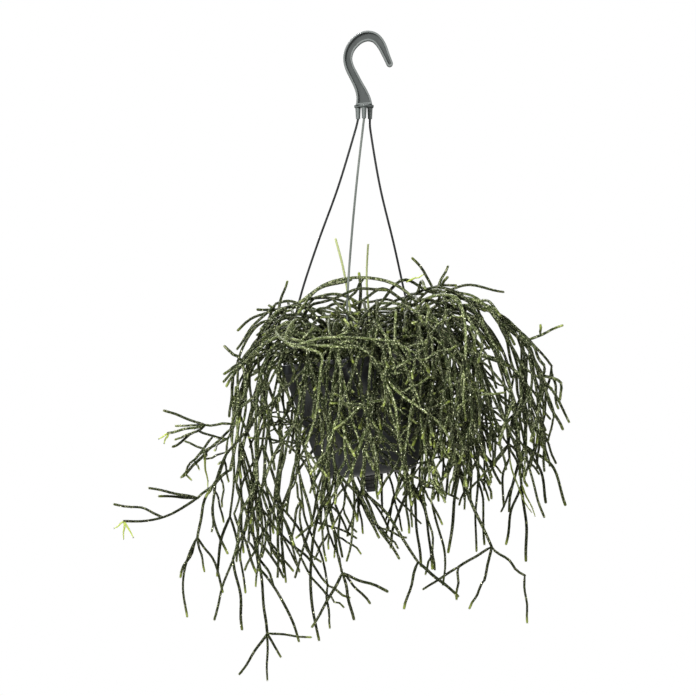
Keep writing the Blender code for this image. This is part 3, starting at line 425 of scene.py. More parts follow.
# Pot: a tapered nursery pot with a thick lip, measured from its rim's centre along its own axis
potSizes = {
    "rimCentre": Vector((-11, 0, -284)) * mm,
    "leanDeg": 7,
    "rimRadius": 70 * mm,
    "lipHeight": 9 * mm,
    "lipThick": 5 * mm,
    "lipRound": 1.5 * mm,
    "lipUnder": 0.8 * mm,
    "wallTopRadius": 66.5 * mm,
    "baseRadius": 43.5 * mm,
    "baseFlare": 1 * mm,
    "baseRound": 7 * mm,
    "footRing": (24 * mm, 24.4 * mm, 30.6 * mm, 31 * mm),
    "footRingDepth": 0.5 * mm,
    "height": 106 * mm,
    "wall": 1.8 * mm,
    "drainHoleRadius": 3 * mm,
    "drainRingRadius": 27 * mm,
    "drainHoles": 4,
    "sides": 96,
    "earAnglesDeg": {"left": 150, "right": 30, "front": 265},
    "earRadius": 74 * mm,
    "earSize": (11 * mm, 9 * mm, 8 * mm),
    "earInset": 1 * mm,
    "earCorner": 3 * mm,
    "earEdge": 0.7 * mm,
    "earBelowRim": 0.6 * mm,
    "earHoleRadius": 1.5 * mm,
}
plugSizes = {
    "bore": 2 * mm, "neck": 4.2 * mm, "radius": 9.5 * mm, "tip": 5 * mm, "length": 16 * mm,
    "flange": 2.5 * mm, "grips": (0.25, 0.5, 0.75),
}
gap = 0.3 * mm
lean = Matrix.Rotation(math.radians(-potSizes["leanDeg"]), 4, "Y")
potFrame = Matrix.Translation(potSizes["rimCentre"]) @ lean
potTurn = np.array(potFrame.to_3x3())
potPlace = np.array(potSizes["rimCentre"])


def roundBar(radius, low, high, place):
    piece = startAt(
        bpy.ops.mesh.primitive_cylinder_add, vertices=24, radius=radius, depth=high - low,
        location=(place[0], place[1], (low + high) / 2),
    )
    closeUp()
    return piece


def earBoss(angleDeg):  # one ear on the lip, its outer corners rounded and its edges eased
    size, edge = potSizes["earSize"], potSizes["earRadius"]
    piece = startAt(bpy.ops.mesh.primitive_cube_add, size=1)
    bpy.ops.transform.resize(value=size)
    drop = -potSizes["earBelowRim"] - size[2] / 2
    bpy.ops.transform.translate(value=(edge - potSizes["earInset"], 0, drop))

    def isCorner(e):
        return all(v.co.x > edge for v in e.verts) and abs(e.verts[0].co.z - e.verts[1].co.z) > mm

    def isOuterEdge(e):
        outer = all(v.co.x > edge - 2 * mm for v in e.verts)
        return outer and not e.is_boundary and e.calc_face_angle(0) > math.radians(60)

    selectWhere("EDGE", isCorner)
    bpy.ops.mesh.bevel(offset=potSizes["earCorner"], segments=5, affect="EDGES")
    selectWhere("EDGE", isOuterEdge)
    bpy.ops.mesh.bevel(offset=potSizes["earEdge"], segments=2, affect="EDGES")
    bpy.ops.mesh.select_all(action="SELECT")
    turn(math.radians(angleDeg), "Z", (0, 0, 0))
    closeUp()
    return piece


def buildPot():
    p = potSizes
    base, floor, top, lip = -p["height"], -p["height"] + p["wall"], p["rimRadius"], -p["lipHeight"]
    inner, bore = p["baseRadius"] - p["wall"], plugSizes["neck"] + gap
    wallHeight = p["height"] - p["baseRound"] - p["lipHeight"]
    taper = (p["wallTopRadius"] - p["baseRadius"] - p["baseFlare"]) / wallHeight
    # A shallow moulded ring on the underside, then the rounded foot
    ring, raised = p["footRing"], base + p["footRingDepth"]
    profile = [(bore, base), (ring[0], base), (ring[1], raised), (ring[2], raised), (ring[3], base)]
    profile += arc(
        (p["baseRadius"] - p["baseRound"], base + p["baseRound"]), p["baseRound"], -90, -8, 7
    )
    foot, footHeight = p["baseRadius"] + p["baseFlare"], base + p["baseRound"] + mm
    profile.append((foot, footHeight))
    for share in (0.25, 0.5, 0.75, 0.94):
        height = footHeight + share * (lip - footHeight)
        profile.append((foot + taper * (height - footHeight), height))
    profile.append((p["wallTopRadius"] + 0.1 * mm, lip - 0.5 * mm))
    profile.append((p["wallTopRadius"] + 0.6 * mm, lip))
    profile += arc((top - p["lipUnder"], lip + p["lipUnder"]), p["lipUnder"], -90, 0, 3)
    profile += arc((top - p["lipRound"], -p["lipRound"]), p["lipRound"], 0, 90, 5)
    profile += arc((top - p["lipThick"] + p["lipRound"], -p["lipRound"]), p["lipRound"], 90, 180, 5)
    profile += [
        (top - p["lipThick"], lip + mm), (p["wallTopRadius"] - p["wall"], lip - mm),
        (inner + p["baseFlare"], base + p["baseRound"]),
        (inner - 0.3 * p["baseRound"], floor + 0.25 * p["baseRound"]),
        (inner - p["baseRound"], floor), (bore, floor), (bore, base),
    ]
    pot = turned(profile, p["sides"])
    closeUp()
    angles = p["earAnglesDeg"].values()
    booleanWith(pot, [earBoss(angle) for angle in angles], "UNION")
    holes = [
        roundBar(p["earHoleRadius"], 2 * lip, -lip, onRing(p["earRadius"], angle)) for angle in angles
    ]
    for i in range(p["drainHoles"]):
        place = onRing(p["drainRingRadius"], 45 + 360 * i / p["drainHoles"])
        holes.append(roundBar(p["drainHoleRadius"], base - p["wall"], floor + p["wall"], place))
    booleanWith(pot, holes, "DIFFERENCE")
    pot.matrix_world = potFrame
    finishPiece(pot, "nursery_pot", [looks["pot"]], "pot", "pot")


def buildPlug():
    s = plugSizes
    top = -potSizes["height"] - gap
    tip = top - s["length"]
    profile = [(s["bore"], tip), (s["tip"] - 0.4 * mm, tip), (s["tip"], tip + 0.5 * mm)]
    for share in s["grips"]:  # grip rings step up the spout
        radius = s["tip"] + (s["radius"] - 1.8 * mm - s["tip"]) * share
        height = tip + (s["length"] - s["flange"]) * share
        profile += [(radius - 0.3 * mm, height - 0.5 * mm), (radius + 0.5 * mm, height - 0.3 * mm)]
        profile += [(radius + 0.5 * mm, height + 0.3 * mm), (radius, height + 0.5 * mm)]
    wide, flange, inPot = s["radius"], top - s["flange"], top + potSizes["wall"]
    profile += [
        (wide - 1.5 * mm, top - 1.1 * s["flange"]), (wide - 0.3 * mm, flange),
        (wide, flange + 0.4 * mm), (wide, top - 0.3 * mm), (wide - 0.3 * mm, top),
        (s["neck"], top), (s["neck"], inPot), (s["bore"], inPot), (s["bore"], tip),
    ]
    plug = turned(profile, 48)
    closeUp()
    plug.matrix_world = potFrame
    finishPiece(plug, "drain_spout", [looks["pot"]], "pot", "drain_plug")


buildPot()
buildPlug()
tell("the pot and its drain plug are turned")


# Hanger: an I-section hook over a three-cornered plate, with three strands
hangerSizes = {
    "depth": 8 * mm,
    "web": 2.4 * mm,
    "flange": 1.7 * mm,
    "edgeRound": 0.45 * mm,
    # Down the middle of the hook from its tip to the plate: x, z and half of its width, in millimetres
    "line": [
        (19.5, -20.5, 2.9), (16.5, -13.5, 3.2), (12.5, -4.5, 3.9), (7.5, 2, 4.3), (1, 4.5, 4.5),
        (-6, 3, 4.5), (-12, -1.5, 4.4), (-16.5, -8, 4.2), (-18.3, -16, 4.1), (-16.5, -24, 4.1),
        (-12.5, -32, 4.2), (-8.5, -40, 4.4), (-5.5, -47, 5.4), (-4, -53, 6.6), (-3.6, -57.5, 7.4),
    ],
    "spans": 44,
    "plateCentre": Vector((-3.6, 0, -58.5)) * mm,
    "plateCornerRadius": 11.9 * mm,
    "plateRound": 4 * mm,
    "plateThick": 2.6 * mm,
    "plateEdge": 0.5 * mm,
    "socketRing": 6.2 * mm,
    "socketRadii": (2.4 * mm, 1.9 * mm),
    "socketLength": 9 * mm,
    "socketBore": 1.35 * mm,
    "boreTop": 2.3 * mm,
    "socketAnglesDeg": {"left": 150, "right": 30, "front": 270},
    "strandRadius": 1.0 * mm,
    "buttonRadius": 3.2 * mm,
    "buttonLength": 8 * mm,
    # The points that each strand passes between its socket and its ear, in millimetres
    "routes": {
        "left": [(-12, 5, -82), (-27, 12, -131), (-45, 20, -180), (-60, 28, -225), (-69, 34, -262)],
        "right": [(2.5, 5, -82), (11, 10, -131), (23.5, 19, -182), (36, 28, -236), (46, 34, -262)],
        "front": [
            (-5, -8, -82), (-10, -20, -126), (-15, -38, -180), (-18.5, -55, -232), (-18.5, -67, -264),
        ],
    },
}


def buildHookBar():  # a face at the tip is extruded, turned and resized from station to station
    s = hangerSizes
    stations = smoothCurve([(x * mm, half * mm, z * mm) for x, z, half in s["line"]], s["spans"])
    middle, half = stations[:, [0, 2]], stations[:, 1]
    along = np.gradient(middle, axis=0)
    along /= np.linalg.norm(along, axis=1)[:, None]
    # The tip is rounded by a few narrow stations in front of it
    tipAngles = [math.radians(a) for a in (12, 35, 60)]
    middle = np.vstack([*[middle[0] - along[0] * half[0] * math.cos(a) for a in tipAngles], middle])
    half = np.concatenate([[half[0] * math.sin(a) for a in tipAngles], half])
    along = np.vstack([[along[0]] * len(tipAngles), along])
    headings = np.unwrap(np.arctan2(along[:, 1], along[:, 0]))
    hook = startAt(bpy.ops.mesh.primitive_plane_add, size=1)
    bpy.ops.transform.resize(value=(2 * half[0], s["depth"], 1))
    # The face's normal goes from +Z to the heading of the line
    turn(math.pi / 2 - headings[0], "Y", (0, 0, 0))
    bpy.ops.transform.translate(value=(middle[0][0], 0, middle[0][1]))
    for i in range(1, len(middle)):
        centre = (middle[i][0], 0, middle[i][1])
        step = middle[i] - middle[i - 1]
        bpy.ops.mesh.extrude_region_move(TRANSFORM_OT_translate={"value": (step[0], 0, step[1])})
        turn(headings[i - 1] - headings[i], "Y", centre)
        share = half[i] / half[i - 1]
        bpy.ops.transform.resize(value=(share, 1, share), center_override=centre)
    bpy.ops.mesh.select_all(action="SELECT")
    bpy.ops.mesh.normals_make_consistent(inside=False)
    for look in ("hook", "hookWebShade"):
        hook.data.materials.append(looks[look])
    for side in (-1, 1):  # sinks the web on both sides
        selectWhere("FACE", lambda f: f.normal.y * side > 0.9)
        bpy.ops.mesh.inset(thickness=s["flange"], use_even_offset=True)
        sink = (0, -side * (s["depth"] - s["web"]) / 2, 0)
        bpy.ops.mesh.extrude_region_move(TRANSFORM_OT_translate={"value": sink})
        # The sunk web takes the darker plastic: painted shade in the recess
        hook.active_material_index = 1
        bpy.ops.object.material_slot_assign()
    closeUp()
    easeEdges(hook, s["edgeRound"])
    return hook


def buildPlate():
    s = hangerSizes
    size = {"radius": s["plateCornerRadius"], "depth": s["plateThick"], "location": s["plateCentre"]}
    plate = startAt(bpy.ops.mesh.primitive_cylinder_add, vertices=3, **size)
    turn(math.pi, "Z", s["plateCentre"])
    selectWhere("EDGE", lambda e: abs(e.verts[0].co.z - e.verts[1].co.z) > s["plateThick"] / 2)
    bpy.ops.mesh.bevel(offset=s["plateRound"], segments=6, affect="EDGES")
    closeUp()
    easeEdges(plate, s["plateEdge"])
    return plate


def buildSocket(angleDeg):  # a tapered ferrule under the plate, open at its mouth
    s = hangerSizes
    wide, narrow = s["socketRadii"]
    top, mouth = -s["plateThick"] / 2, -s["plateThick"] - s["socketLength"]
    boreTop = -s["boreTop"] - 1.5 * mm
    profile = [
        (s["socketBore"], boreTop), (s["socketBore"], mouth), (narrow - 0.3 * mm, mouth),
        (narrow, mouth + 0.3 * mm), ((wide + narrow) / 2, (top + mouth) / 2), (wide, top - 0.6 * mm),
        (wide + 0.7 * mm, top), (s["socketBore"], top), (s["socketBore"], boreTop),
    ]
    socket = turned(profile, 24)
    closeUp()
    socket.location = s["plateCentre"] + onRing(s["socketRing"], angleDeg)
    return socket


def buildHook():
    s = hangerSizes
    hook = buildHookBar()
    others = [buildPlate(), *[buildSocket(angle) for angle in s["socketAnglesDeg"].values()]]
    for other in others:
        other.data.materials.append(looks["hook"])
    makeOne(hook, others)
    finishPiece(hook, "hanger_hook_moulded", [], "hanger", "hanger_hook", smoothAngle=40)


def strandLine(side, spans):  # from the bore of its socket, down its route and through its ear
    s = hangerSizes
    socket = s["plateCentre"] + onRing(s["socketRing"], s["socketAnglesDeg"][side])
    top = socket - Vector((0, 0, s["boreTop"] + 2 * gap))
    mouth = socket - Vector((0, 0, s["plateThick"] + s["socketLength"]))
    ear = onRing(potSizes["earRadius"], potSizes["earAnglesDeg"][side])
    overEar = potFrame @ (ear + Vector((0, 0, potSizes["lipRound"])))
    inButton = potFrame @ (ear - Vector((0, 0, potSizes["earSize"][2] + 2 * mm)))
    hangingPart = [mouth, *[Vector(point) * mm for point in s["routes"][side]], overEar]
    return np.vstack([[top], smoothCurve(hangingPart, spans), [inButton]])


def buildStrand(side, look, slot):
    s = hangerSizes
    line = strandLine(side, 60)
    drawn = bpy.data.curves.new("strand", "CURVE")
    drawn.dimensions, drawn.bevel_depth, drawn.bevel_resolution = "3D", s["strandRadius"], 3
    drawn.use_fill_caps = True
    spline = drawn.splines.new("POLY")
    spline.points.add(len(line) - 1)
    spline.points.foreach_set("co", np.column_stack([line, np.ones(len(line))]).ravel())
    strand = bpy.data.objects.new("strand", drawn)
    bpy.context.scene.collection.objects.link(strand)
    pick(strand)
    bpy.ops.object.convert(target="MESH")
    strand = bpy.context.object
    # The button below the ear, as shares of its radius and length
    under = -potSizes["earBelowRim"] - potSizes["earSize"][2] - gap
    r, length = s["buttonRadius"], s["buttonLength"]
    rounding = ((0.35, 0.97), (0.6, 0.85), (0.85, 0.6), (1, 0.3), (0.97, 0.1))
    profile = [(0.02 * mm, under - length), *[(a * r, under - b * length) for a, b in rounding]]
    button = turned([*profile, (0.85 * r, under), (0.02 * mm, under)], 32)
    closeUp(0.05 * mm)
    ear = onRing(potSizes["earRadius"], potSizes["earAnglesDeg"][side])
    button.matrix_world = potFrame @ Matrix.Translation(ear)
    makeOne(strand, [button])
    name = f"hanger_strand_{side}"
    finishPiece(strand, name + "_drawn", [looks[look]], slot, name, smoothAngle=50)


buildHook()
buildStrand("left", "strand", "strand_dark")
buildStrand("right", "strand", "strand_dark")
buildStrand("front", "paleStrand", "strand_grey")
tell("the hook and its strands hang")


# Peat: fills the pot to a little below the lip
soilSizes = {
    "belowRim": 13 * mm,
    "dome": 2.5 * mm,
    "rootDepth": 11 * mm,
    "lumps": 5 * mm,
    "lumpHeight": 2.6 * mm,
    "lumpMiddle": 0.62,
    "seed": 5,
    "crumbs": 150,
    "crumbSize": (1.2 * mm, 3.4 * mm),
    "crumbLift": (-0.9, 0.3),  # mm over the peat
    "crumbWide": (0.7, 1.8),
    "crumbHigh": (0.4, 0.8),
}


def soilLevel(radius):  # how far below the rim the peat's domed top lies, away from the pot's axis
    return soilSizes["belowRim"] - soilSizes["dome"] * (1 - (radius / potSizes["wallTopRadius"]) ** 2)


def wallRadius(depth):  # the outer radius of the pot's wall at a depth below the rim
    lip = potSizes["lipHeight"]
    share = np.clip((depth - lip) / (potSizes["height"] - lip), 0, 1)
    return potSizes["wallTopRadius"] + (potSizes["baseRadius"] - potSizes["wallTopRadius"]) * share


def buildSoil():
    p, s = potSizes, soilSizes
    floor = -p["height"] + p["wall"] + gap
    inset = p["wall"] + 1.6 * gap
    edge, foot = wallRadius(s["belowRim"]) - inset, p["baseRadius"] - inset
    profile = [
        (0.05 * mm, floor), (foot - p["baseRound"], floor),
        (foot - 0.3 * p["baseRound"], floor + 0.25 * p["baseRound"]),
        (foot + p["baseFlare"], -p["height"] + p["baseRound"]), (edge, -s["belowRim"]),
    ]
    profile += [(edge * share, -soilLevel(edge * share)) for share in np.linspace(0.96, 0.04, 22)]
    profile += [(0.05 * mm, -soilLevel(0))]
    soil = turned(profile, 96)
    closeUp(0.15 * mm)
    group = soil.vertex_groups.new(name="top")
    onTop = [v.index for v in soil.data.vertices if v.co.z > -s["belowRim"] + 0.2 * mm]
    group.add(onTop, 1, "REPLACE")
    lumps = bpy.data.textures.new("lumps", "CLOUDS")
    lumps.noise_scale, lumps.noise_depth = s["lumps"], 3
    applyModifier(
        soil, "DISPLACE", texture=lumps, strength=s["lumpHeight"], mid_level=s["lumpMiddle"],
        direction="Z", vertex_group="top", texture_coords="LOCAL",
    )
    bpy.data.textures.remove(lumps)
    picks = random.Random(s["seed"])
    crumbs = []
    for i in range(s["crumbs"]):
        radius = (edge - 4 * mm) * math.sqrt((i + 0.5) / s["crumbs"])
        height = -soilLevel(radius) + picks.uniform(*s["crumbLift"]) * mm
        place = onRing(radius, math.degrees(i * goldenAngle), height)
        size = {"radius": picks.uniform(*s["crumbSize"]) / 2, "location": place}
        crumb = startAt(bpy.ops.mesh.primitive_ico_sphere_add, subdivisions=1, **size)
        wide, high = picks.uniform(*s["crumbWide"]), picks.uniform(*s["crumbHigh"])
        bpy.ops.transform.resize(value=(wide, 1, high))
        turn(picks.uniform(0, math.pi), "Z", place)
        closeUp(0.001 * mm)
        crumbs.append(crumb)
    makeOne(soil, crumbs)
    soil.matrix_world = potFrame
    finishPiece(soil, "peat_fill", [looks["peat"]], "soil", "soil", smoothAngle=50)


buildSoil()
tell("the pot is filled with peat")


# Plant: how the sprays grow out of the peat, over the rim and down
plantHabit = {
    "solidRadii": (2.2 * mm, 1.95 * mm, 1.75 * mm, 1.6 * mm, 1.5 * mm),
    "solidShootRadius": 1.4 * mm,
    # How far stems of other sprays and of the same one keep apart
    "placedApart": 0.8 * mm,
    "grownApart": 0.8 * mm,
    "twigsApart": 0.4 * mm,
    "strandRoom": 0,
    "earClearance": 8 * mm,
    "sampleStep": 2.5 * mm,
    "rootLength": 1.6 * soilSizes["rootDepth"],
    "hubReach": 9 * mm,
    "near": 20 * mm,
    "spanLength": 31 * mm,
    "seed": 20,
    "sprays": 34,
    "placeAttempts": 40,
    "swayPush": (0.5, 1, 0.4),
    "swayStep": 1.2,  # mm more at each attempt
    "growAttempts": 20,
    "rootAreaRadius": 54 * mm,
    "rootSpots": 64,
    "rootRounds": 3,
    "firstSpot": 0,
    "archTurn": (-0.5, 0.5),
    "riseDeg": (70, 86),
    "fallDeg": (45, 80),
    "archTurnDeg": (-30, 30),
    "stiffness": (1.2, 1.9),
    "outward": (0.55, 0.85),
    "shortestArch": 95 * mm,
    "archWidth": 0.58,
    "whorlCounts": ((), (4, 4, 5), (3, 3, 4), (2, 3, 3), (2, 2, 3)),
    "whorlLengths": (
        (), (46 * mm, 95 * mm), (42 * mm, 85 * mm), (36 * mm, 74 * mm), (30 * mm, 60 * mm)
    ),
    "whorlSpreadDeg": (18, 48),
    "whorlTurnDeg": (-30, 30),
    "droop": (7, 18),
    "wander": 2.5,
    "tufts": 7,
    "tuftTurn": (-2, 2),
    "tuftPlaces": (0.3, 0.8),
    "tuftSlopeDeg": (-5, 50),
    "tuftDroop": (14, 34),
    "tuftLengths": (40, 85),  # mm
    "tuftWhorl": 4,
    "hangShares": (0.55, 1.0),
    "domeHeight": 74 * mm,
    "domeShoulder": 0.45,
    "domeEdge": 0.95,
    # On the left and on the right: how far stems reach, how low they hang and how long whorls are
    "reach": (111 * mm, 184 * mm),
    "lowest": (-548 * mm, -398 * mm),
    "vigour": (1.3, 0.85),
    "whorls": (4, 3),
    "rightFrom": 0.6,
    "reachCurve": 1.4,
}
Stem = namedtuple("Stem", "points radius parent atTip young")


# A stem by its points, x, y and z in millimetres, then the twigs on it; `at` is the share of its own
# parent's length that it starts from
def twig(*parts, at=1.0, young=False):
    route = [part for part in parts if isinstance(part, tuple)]
    twigs = [part for part in parts if isinstance(part, dict)]
    return {"route": route, "twigs": twigs, "at": at, "young": young}


# The sprays that shape the outline
placedSprays = {
    "long_arm": twig(
        (-45, 5, -297), (-62, 6, -262), (-88, 8, -262), (-108, 10, -300), (-117, 8, -350),
        (-124, 4, -386),
        twig(
            (-137, 0, -397), (-153, -4, -411),
            twig((-175, -7, -406), (-196, -9, -402)), twig((-170, 3, -412), (-188, 6, -410)),
            twig(
                (-168, -10, -423), (-188, -14, -429), (-218, -18, -431),
                twig((-226, -22, -437), young=True), twig((-219, -12, -447), young=True),
                twig((-210, -20, -445), young=True), twig((-200, -4, -421), (-228, 0, -417), at=0.5),
            ),
            twig(
                (-151, 8, -427), (-154, 10, -447),
                twig((-163, 8, -462), (-167, 6, -485), (-163, 4, -518)),
                twig((-151, 12, -460), (-148, 14, -478)), twig((-160, 16, -466), (-171, 20, -484)),
                twig((-143, 18, -468), (-131, 20, -483), (-133, 20, -497)), at=0.6,
            ),
            twig((-139, -8, -428), (-133, -10, -449), (-126, -12, -460), at=0.45),
        ),
    ),
    "left_fan": twig(
        (-52, 22, -300), (-70, 24, -258), (-98, 26, -272), (-113, 24, -315), (-123, 20, -345),
        twig(
            (-135, 18, -348), (-147, 16, -346),
            twig((-163, 14, -341), (-184, 12, -333)), twig((-160, 20, -349), (-174, 23, -347)),
            twig(
                (-165, 9, -351), (-180, 6, -353),
                twig((-188, 3, -358), young=True), twig((-184, 10, -362), young=True),
            ),
            twig((-160, 24, -358), (-177, 28, -366)),
        ),
        twig((-120, 12, -330), (-121, 8, -320), (-119, 6, -312), at=0.93),
    ),
    "left_drop": twig(
        (-30, 36, -297), (-52, 44, -256), (-88, 48, -268), (-112, 44, -310), (-125, 36, -350),
        twig(
            (-140, 32, -364), (-149, 30, -373),
            twig((-160, 28, -384), (-168, 26, -393)),
            twig((-150, 36, -388), (-146, 38, -403), young=True),
        ),
        twig(
            (-122, 42, -390), (-126, 44, -430),
            twig((-135, 50, -455), (-138, 52, -485)), twig((-118, 46, -460), (-112, 48, -500)),
        ),
    ),
    "left_star": twig(
        (-40, -22, -297), (-60, -30, -262), (-88, -36, -264), (-112, -40, -288),
        twig((-119, -41, -282), (-127, -43, -275)), twig((-120, -46, -293), (-127, -50, -299)),
        twig((-119, -34, -298), (-126, -30, -310)),
        twig((-108, -46, -306), (-110, -50, -340), twig((-114, -54, -362), (-112, -58, -390))),
    ),
    "bottom_star": twig(
        (-22, -40, -296), (-48, -58, -256), (-84, -76, -276), (-98, -80, -330), (-97, -76, -390),
        twig(
            (-98, -70, -430), (-95, -66, -470),
            twig(
                (-92, -64, -500), (-89, -62, -527),
                twig((-100, -65, -543), (-113, -67, -562)), twig((-91, -60, -548), (-89, -58, -568)),
                twig((-83, -70, -536), (-77, -75, -546)), twig((-70, -58, -528), (-51, -56, -531)),
            ),
            twig((-84, -72, -484), (-70, -76, -506), (-61, -78, -532)),
        ),
        twig(
            (-110, -84, -420), (-118, -86, -460),
            twig((-126, -88, -480), (-134, -90, -512)), twig((-112, -92, -490), (-110, -94, -520)),
        ),
    ),
    "centre_star": twig(
        (-8, -46, -296), (-16, -74, -256), (-28, -98, -288), (-34, -100, -340), (-34, -94, -400),
        twig(
            (-30, -88, -440), (-23, -84, -472),
            twig((-3, -84, -475), (16, -86, -488)), twig((-12, -78, -485), (1, -76, -499)),
            twig((-38, -90, -500), (-49, -94, -518)), twig((-20, -92, -492), (-13, -96, -511)),
        ),
        twig((-42, -90, -440), (-40, -86, -480), (-36, -84, -528)),
    ),
    "right_star": twig(
        (36, -30, -290), (58, -46, -252), (84, -58, -288), (92, -60, -340), (86, -56, -395),
        twig(
            (96, -50, -425), (109, -46, -452),
            twig((123, -48, -456), (138, -50, -477), twig((141, -51, -500), (140, -52, -518))),
            twig(
                (96, -44, -460), (80, -42, -470),
                twig((66, -40, -477), (49, -38, -490)), twig((79, -44, -484), (78, -46, -498)),
            ),
            twig((110, -40, -466), (103, -38, -482), twig((97, -37, -494), (90, -36, -507))),
        ),
        twig((74, -62, -425), (70, -66, -455)),
    ),
    "low_middle": twig(
        (14, -34, -292), (18, -66, -256), (12, -92, -290), (0, -98, -345), (-6, -94, -400),
        twig(
            (16, -86, -420), (29, -82, -442), (43, -80, -463),
            twig((38, -80, -484), (31, -80, -503)), twig((60, -78, -476), (78, -76, -493)),
        ),
        twig((8, -100, -430), (26, -102, -458)),
    ),
    "back_drop": twig(
        (20, 30, -293), (26, 58, -250), (34, 88, -276), (40, 92, -340), (42, 84, -404),
        twig((54, 78, -430), (58, 74, -458), (60, 72, -480)), twig((46, 90, -440), (50, 94, -479)),
        twig((28, 90, -430), (22, 94, -462)),
    ),
    "right_drop": twig(
        (36, -4, -289), (52, -7, -258), (84, -12, -242), (118, -16, -284), (132, -18, -345),
        (137, -18, -398),
        twig((141, -18, -430), (139, -18, -452), (141, -18, -466)),
        twig((143, -28, -410), (148, -34, -425), young=True), twig((128, -10, -425), (124, -6, -452)),
    ),
    "right_wide": twig(
        (40, 14, -288), (56, 16, -254), (88, 16, -237), (122, 14, -250), (146, 10, -274), (154, 8, -301),
        twig((160, 3, -318), (168, 0, -335), (175, -2, -349)), twig((168, 14, -316), (182, 16, -343)),
        twig((166, -2, -303), (179, -8, -311), (172, -11, -322)),
        twig((158, 8, -266), (175, 4, -256), twig((156, 11, -256), at=0.4), at=0.82),
    ),
    "right_hang": twig(
        (28, 30, -292), (42, 36, -258), (72, 44, -238), (112, 50, -266), (136, 48, -320), (146, 44, -364),
        twig((164, 40, -379), (174, 37, -396), (180, 34, -419)), twig((150, 48, -395), (162, 52, -431)),
        twig((158, 56, -386), (164, 60, -418)), twig((134, 50, -396), (130, 54, -426)),
    ),
    "top_star": twig(
        (26, 4, -291), (38, 2, -258), (60, 0, -227),
        twig((54, -3, -214), (47, -5, -202), (40, -7, -196)), twig((66, 5, -215), (72, 7, -203)),
        twig((68, -7, -219), (71, -10, -213)), twig((80, -4, -222), (100, -8, -220), (121, -10, -226)),
        twig(
            (76, 8, -227), (100, 10, -229), (114, 12, -236), (119, 12, -254),
            twig((104, 8, -240), (104, 8, -256), at=0.55),
        ),
        twig(
            (46, -10, -221), (32, -14, -216), (20, -16, -222), (8, -18, -240),
            twig((39, -20, -208), (49, -22, -211), at=0.45, young=True),
        ),
    ),
    "top_arc": twig(
        (30, -14, -291), (46, -18, -244), (30, -26, -223), (-2, -32, -214), (-36, -34, -219),
        (-61, -36, -236),
        twig((-44, -40, -230), (-56, -44, -246), at=0.72),
        twig((-26, -30, -228), (-22, -28, -240), at=0.66),
    ),
    "front_arch": twig(
        (-4, -26, -294), (-13, -54, -256), (-8, -86, -268), (9, -104, -298),
        twig(
            (21, -108, -324), (28, -106, -360), (31, -100, -396),
            twig((36, -98, -412), (35, -96, -436)),
        ),
        twig((30, -102, -316), (56, -96, -328), (74, -92, -350), (83, -90, -370)),
        twig((24, -106, -293), (38, -108, -297)), twig((2, -112, -320), (-8, -114, -345)),
    ),
    "dark_shoot": twig((-8, 17, -296), (-8, 16, -250), (-8, 16, -209)),
}

# Fresh light green shoots that stand up out of the crown
youngShoots = {
    "young_shoot_left": twig(
        (-15, -9, -296), (-16, -9, -240), (-20, -9, -215), (-29, -9, -179),
        young=True,
    ),
    "young_shoot_right": twig((1, -5, -294), (0, -5, -240), (0, -5, -184), young=True),
}


def lengthOf(points):
    return runAlong(points)[-1]


def sampled(points):  # points along a polyline, no further apart than the sample step
    pieces = []
    for a, b in zip(points[:-1], points[1:]):
        steps = max(1, math.ceil(np.linalg.norm(b - a) / plantHabit["sampleStep"]))
        pieces.append(a + (b - a) * np.linspace(0, 1, steps, endpoint=False)[:, None])
    return np.vstack([*pieces, points[-1:]])


class Thicket:  # what is placed so far, as spheres, so that no spray grows into another solid

    def __init__(self):
        self.points = np.empty((0, 3))
        self.radii = np.empty(0)
        self.owners = np.empty(0, int)

    def add(self, points, radius, owner):
        spheres = sampled(np.asarray(points, float))
        self.points = np.vstack([self.points, spheres])
        self.radii = np.concatenate([self.radii, np.full(len(spheres), radius)])
        self.owners = np.concatenate([self.owners, np.full(len(spheres), owner)])

    def isClear(self, points, radius, owner, rooted):
        spheres = sampled(points)
        fromStart = np.linalg.norm(spheres - points[0], axis=1)
        beyondRoot = spheres[fromStart > (plantHabit["rootLength"] if rooted else 0)]
        if potTouches(beyondRoot, max(radius + plantHabit["stemsApart"], 0.7 * radius)).any():
            return False
        low, high = spheres.min(axis=0) - plantHabit["near"], spheres.max(axis=0) + plantHabit["near"]
        near = np.all((self.points > low) & (self.points < high), axis=1)
        own = self.owners[near] == owner
        room = np.where(own, plantHabit["twigsApart"], plantHabit["stemsApart"])
        apart = np.linalg.norm(spheres[:, None, :] - self.points[near][None, :, :], axis=2)
        touching = apart < (radius + self.radii[near] + room)[None, :]
        touching[np.ix_(fromStart < plantHabit["hubReach"], own)] = False
        return not touching.any()


def potTouches(points, margin):  # which points lie within a margin of the pot, its soil or its plug
    p, s = potSizes, soilSizes
    local = (points - potPlace) @ potTurn
    outward = np.hypot(local[:, 0], local[:, 1])
    depth = -local[:, 2]
    outer = np.where(depth < p["lipHeight"] + margin, p["rimRadius"], wallRadius(depth))
    inReach = (depth > -margin) & (depth < p["height"] + margin) & (outward < outer + margin)
    aboveSoil = depth < s["belowRim"] - s["dome"] - margin
    inMouth = aboveSoil & (outward < p["rimRadius"] - p["lipThick"] - margin)
    besidePlug = (depth > p["height"]) & (depth < p["height"] + plugSizes["length"] + margin)
    return (inReach & ~inMouth) | (besidePlug & (outward < plugSizes["radius"] + margin))


# A route pushed a little to one side along its middle, more at each new attempt
def swayed(points, rng, attempt):
    if attempt == 0:
        return points
    push = np.array([rng.uniform(-most, most) for most in plantHabit["swayPush"]])
    share = np.linspace(0, 1, len(points))[:, None]
    step = plantHabit["swayStep"] * attempt * mm
    return points + push * step * np.sin(math.pi * share * 0.75)


def stemRadius(level, young=False):
    radii = plantHabit["solidRadii"]
    return plantHabit["solidShootRadius"] if young else radii[min(level, len(radii) - 1)]


def spanCount(length):
    return max(1, round(length / plantHabit["spanLength"]))


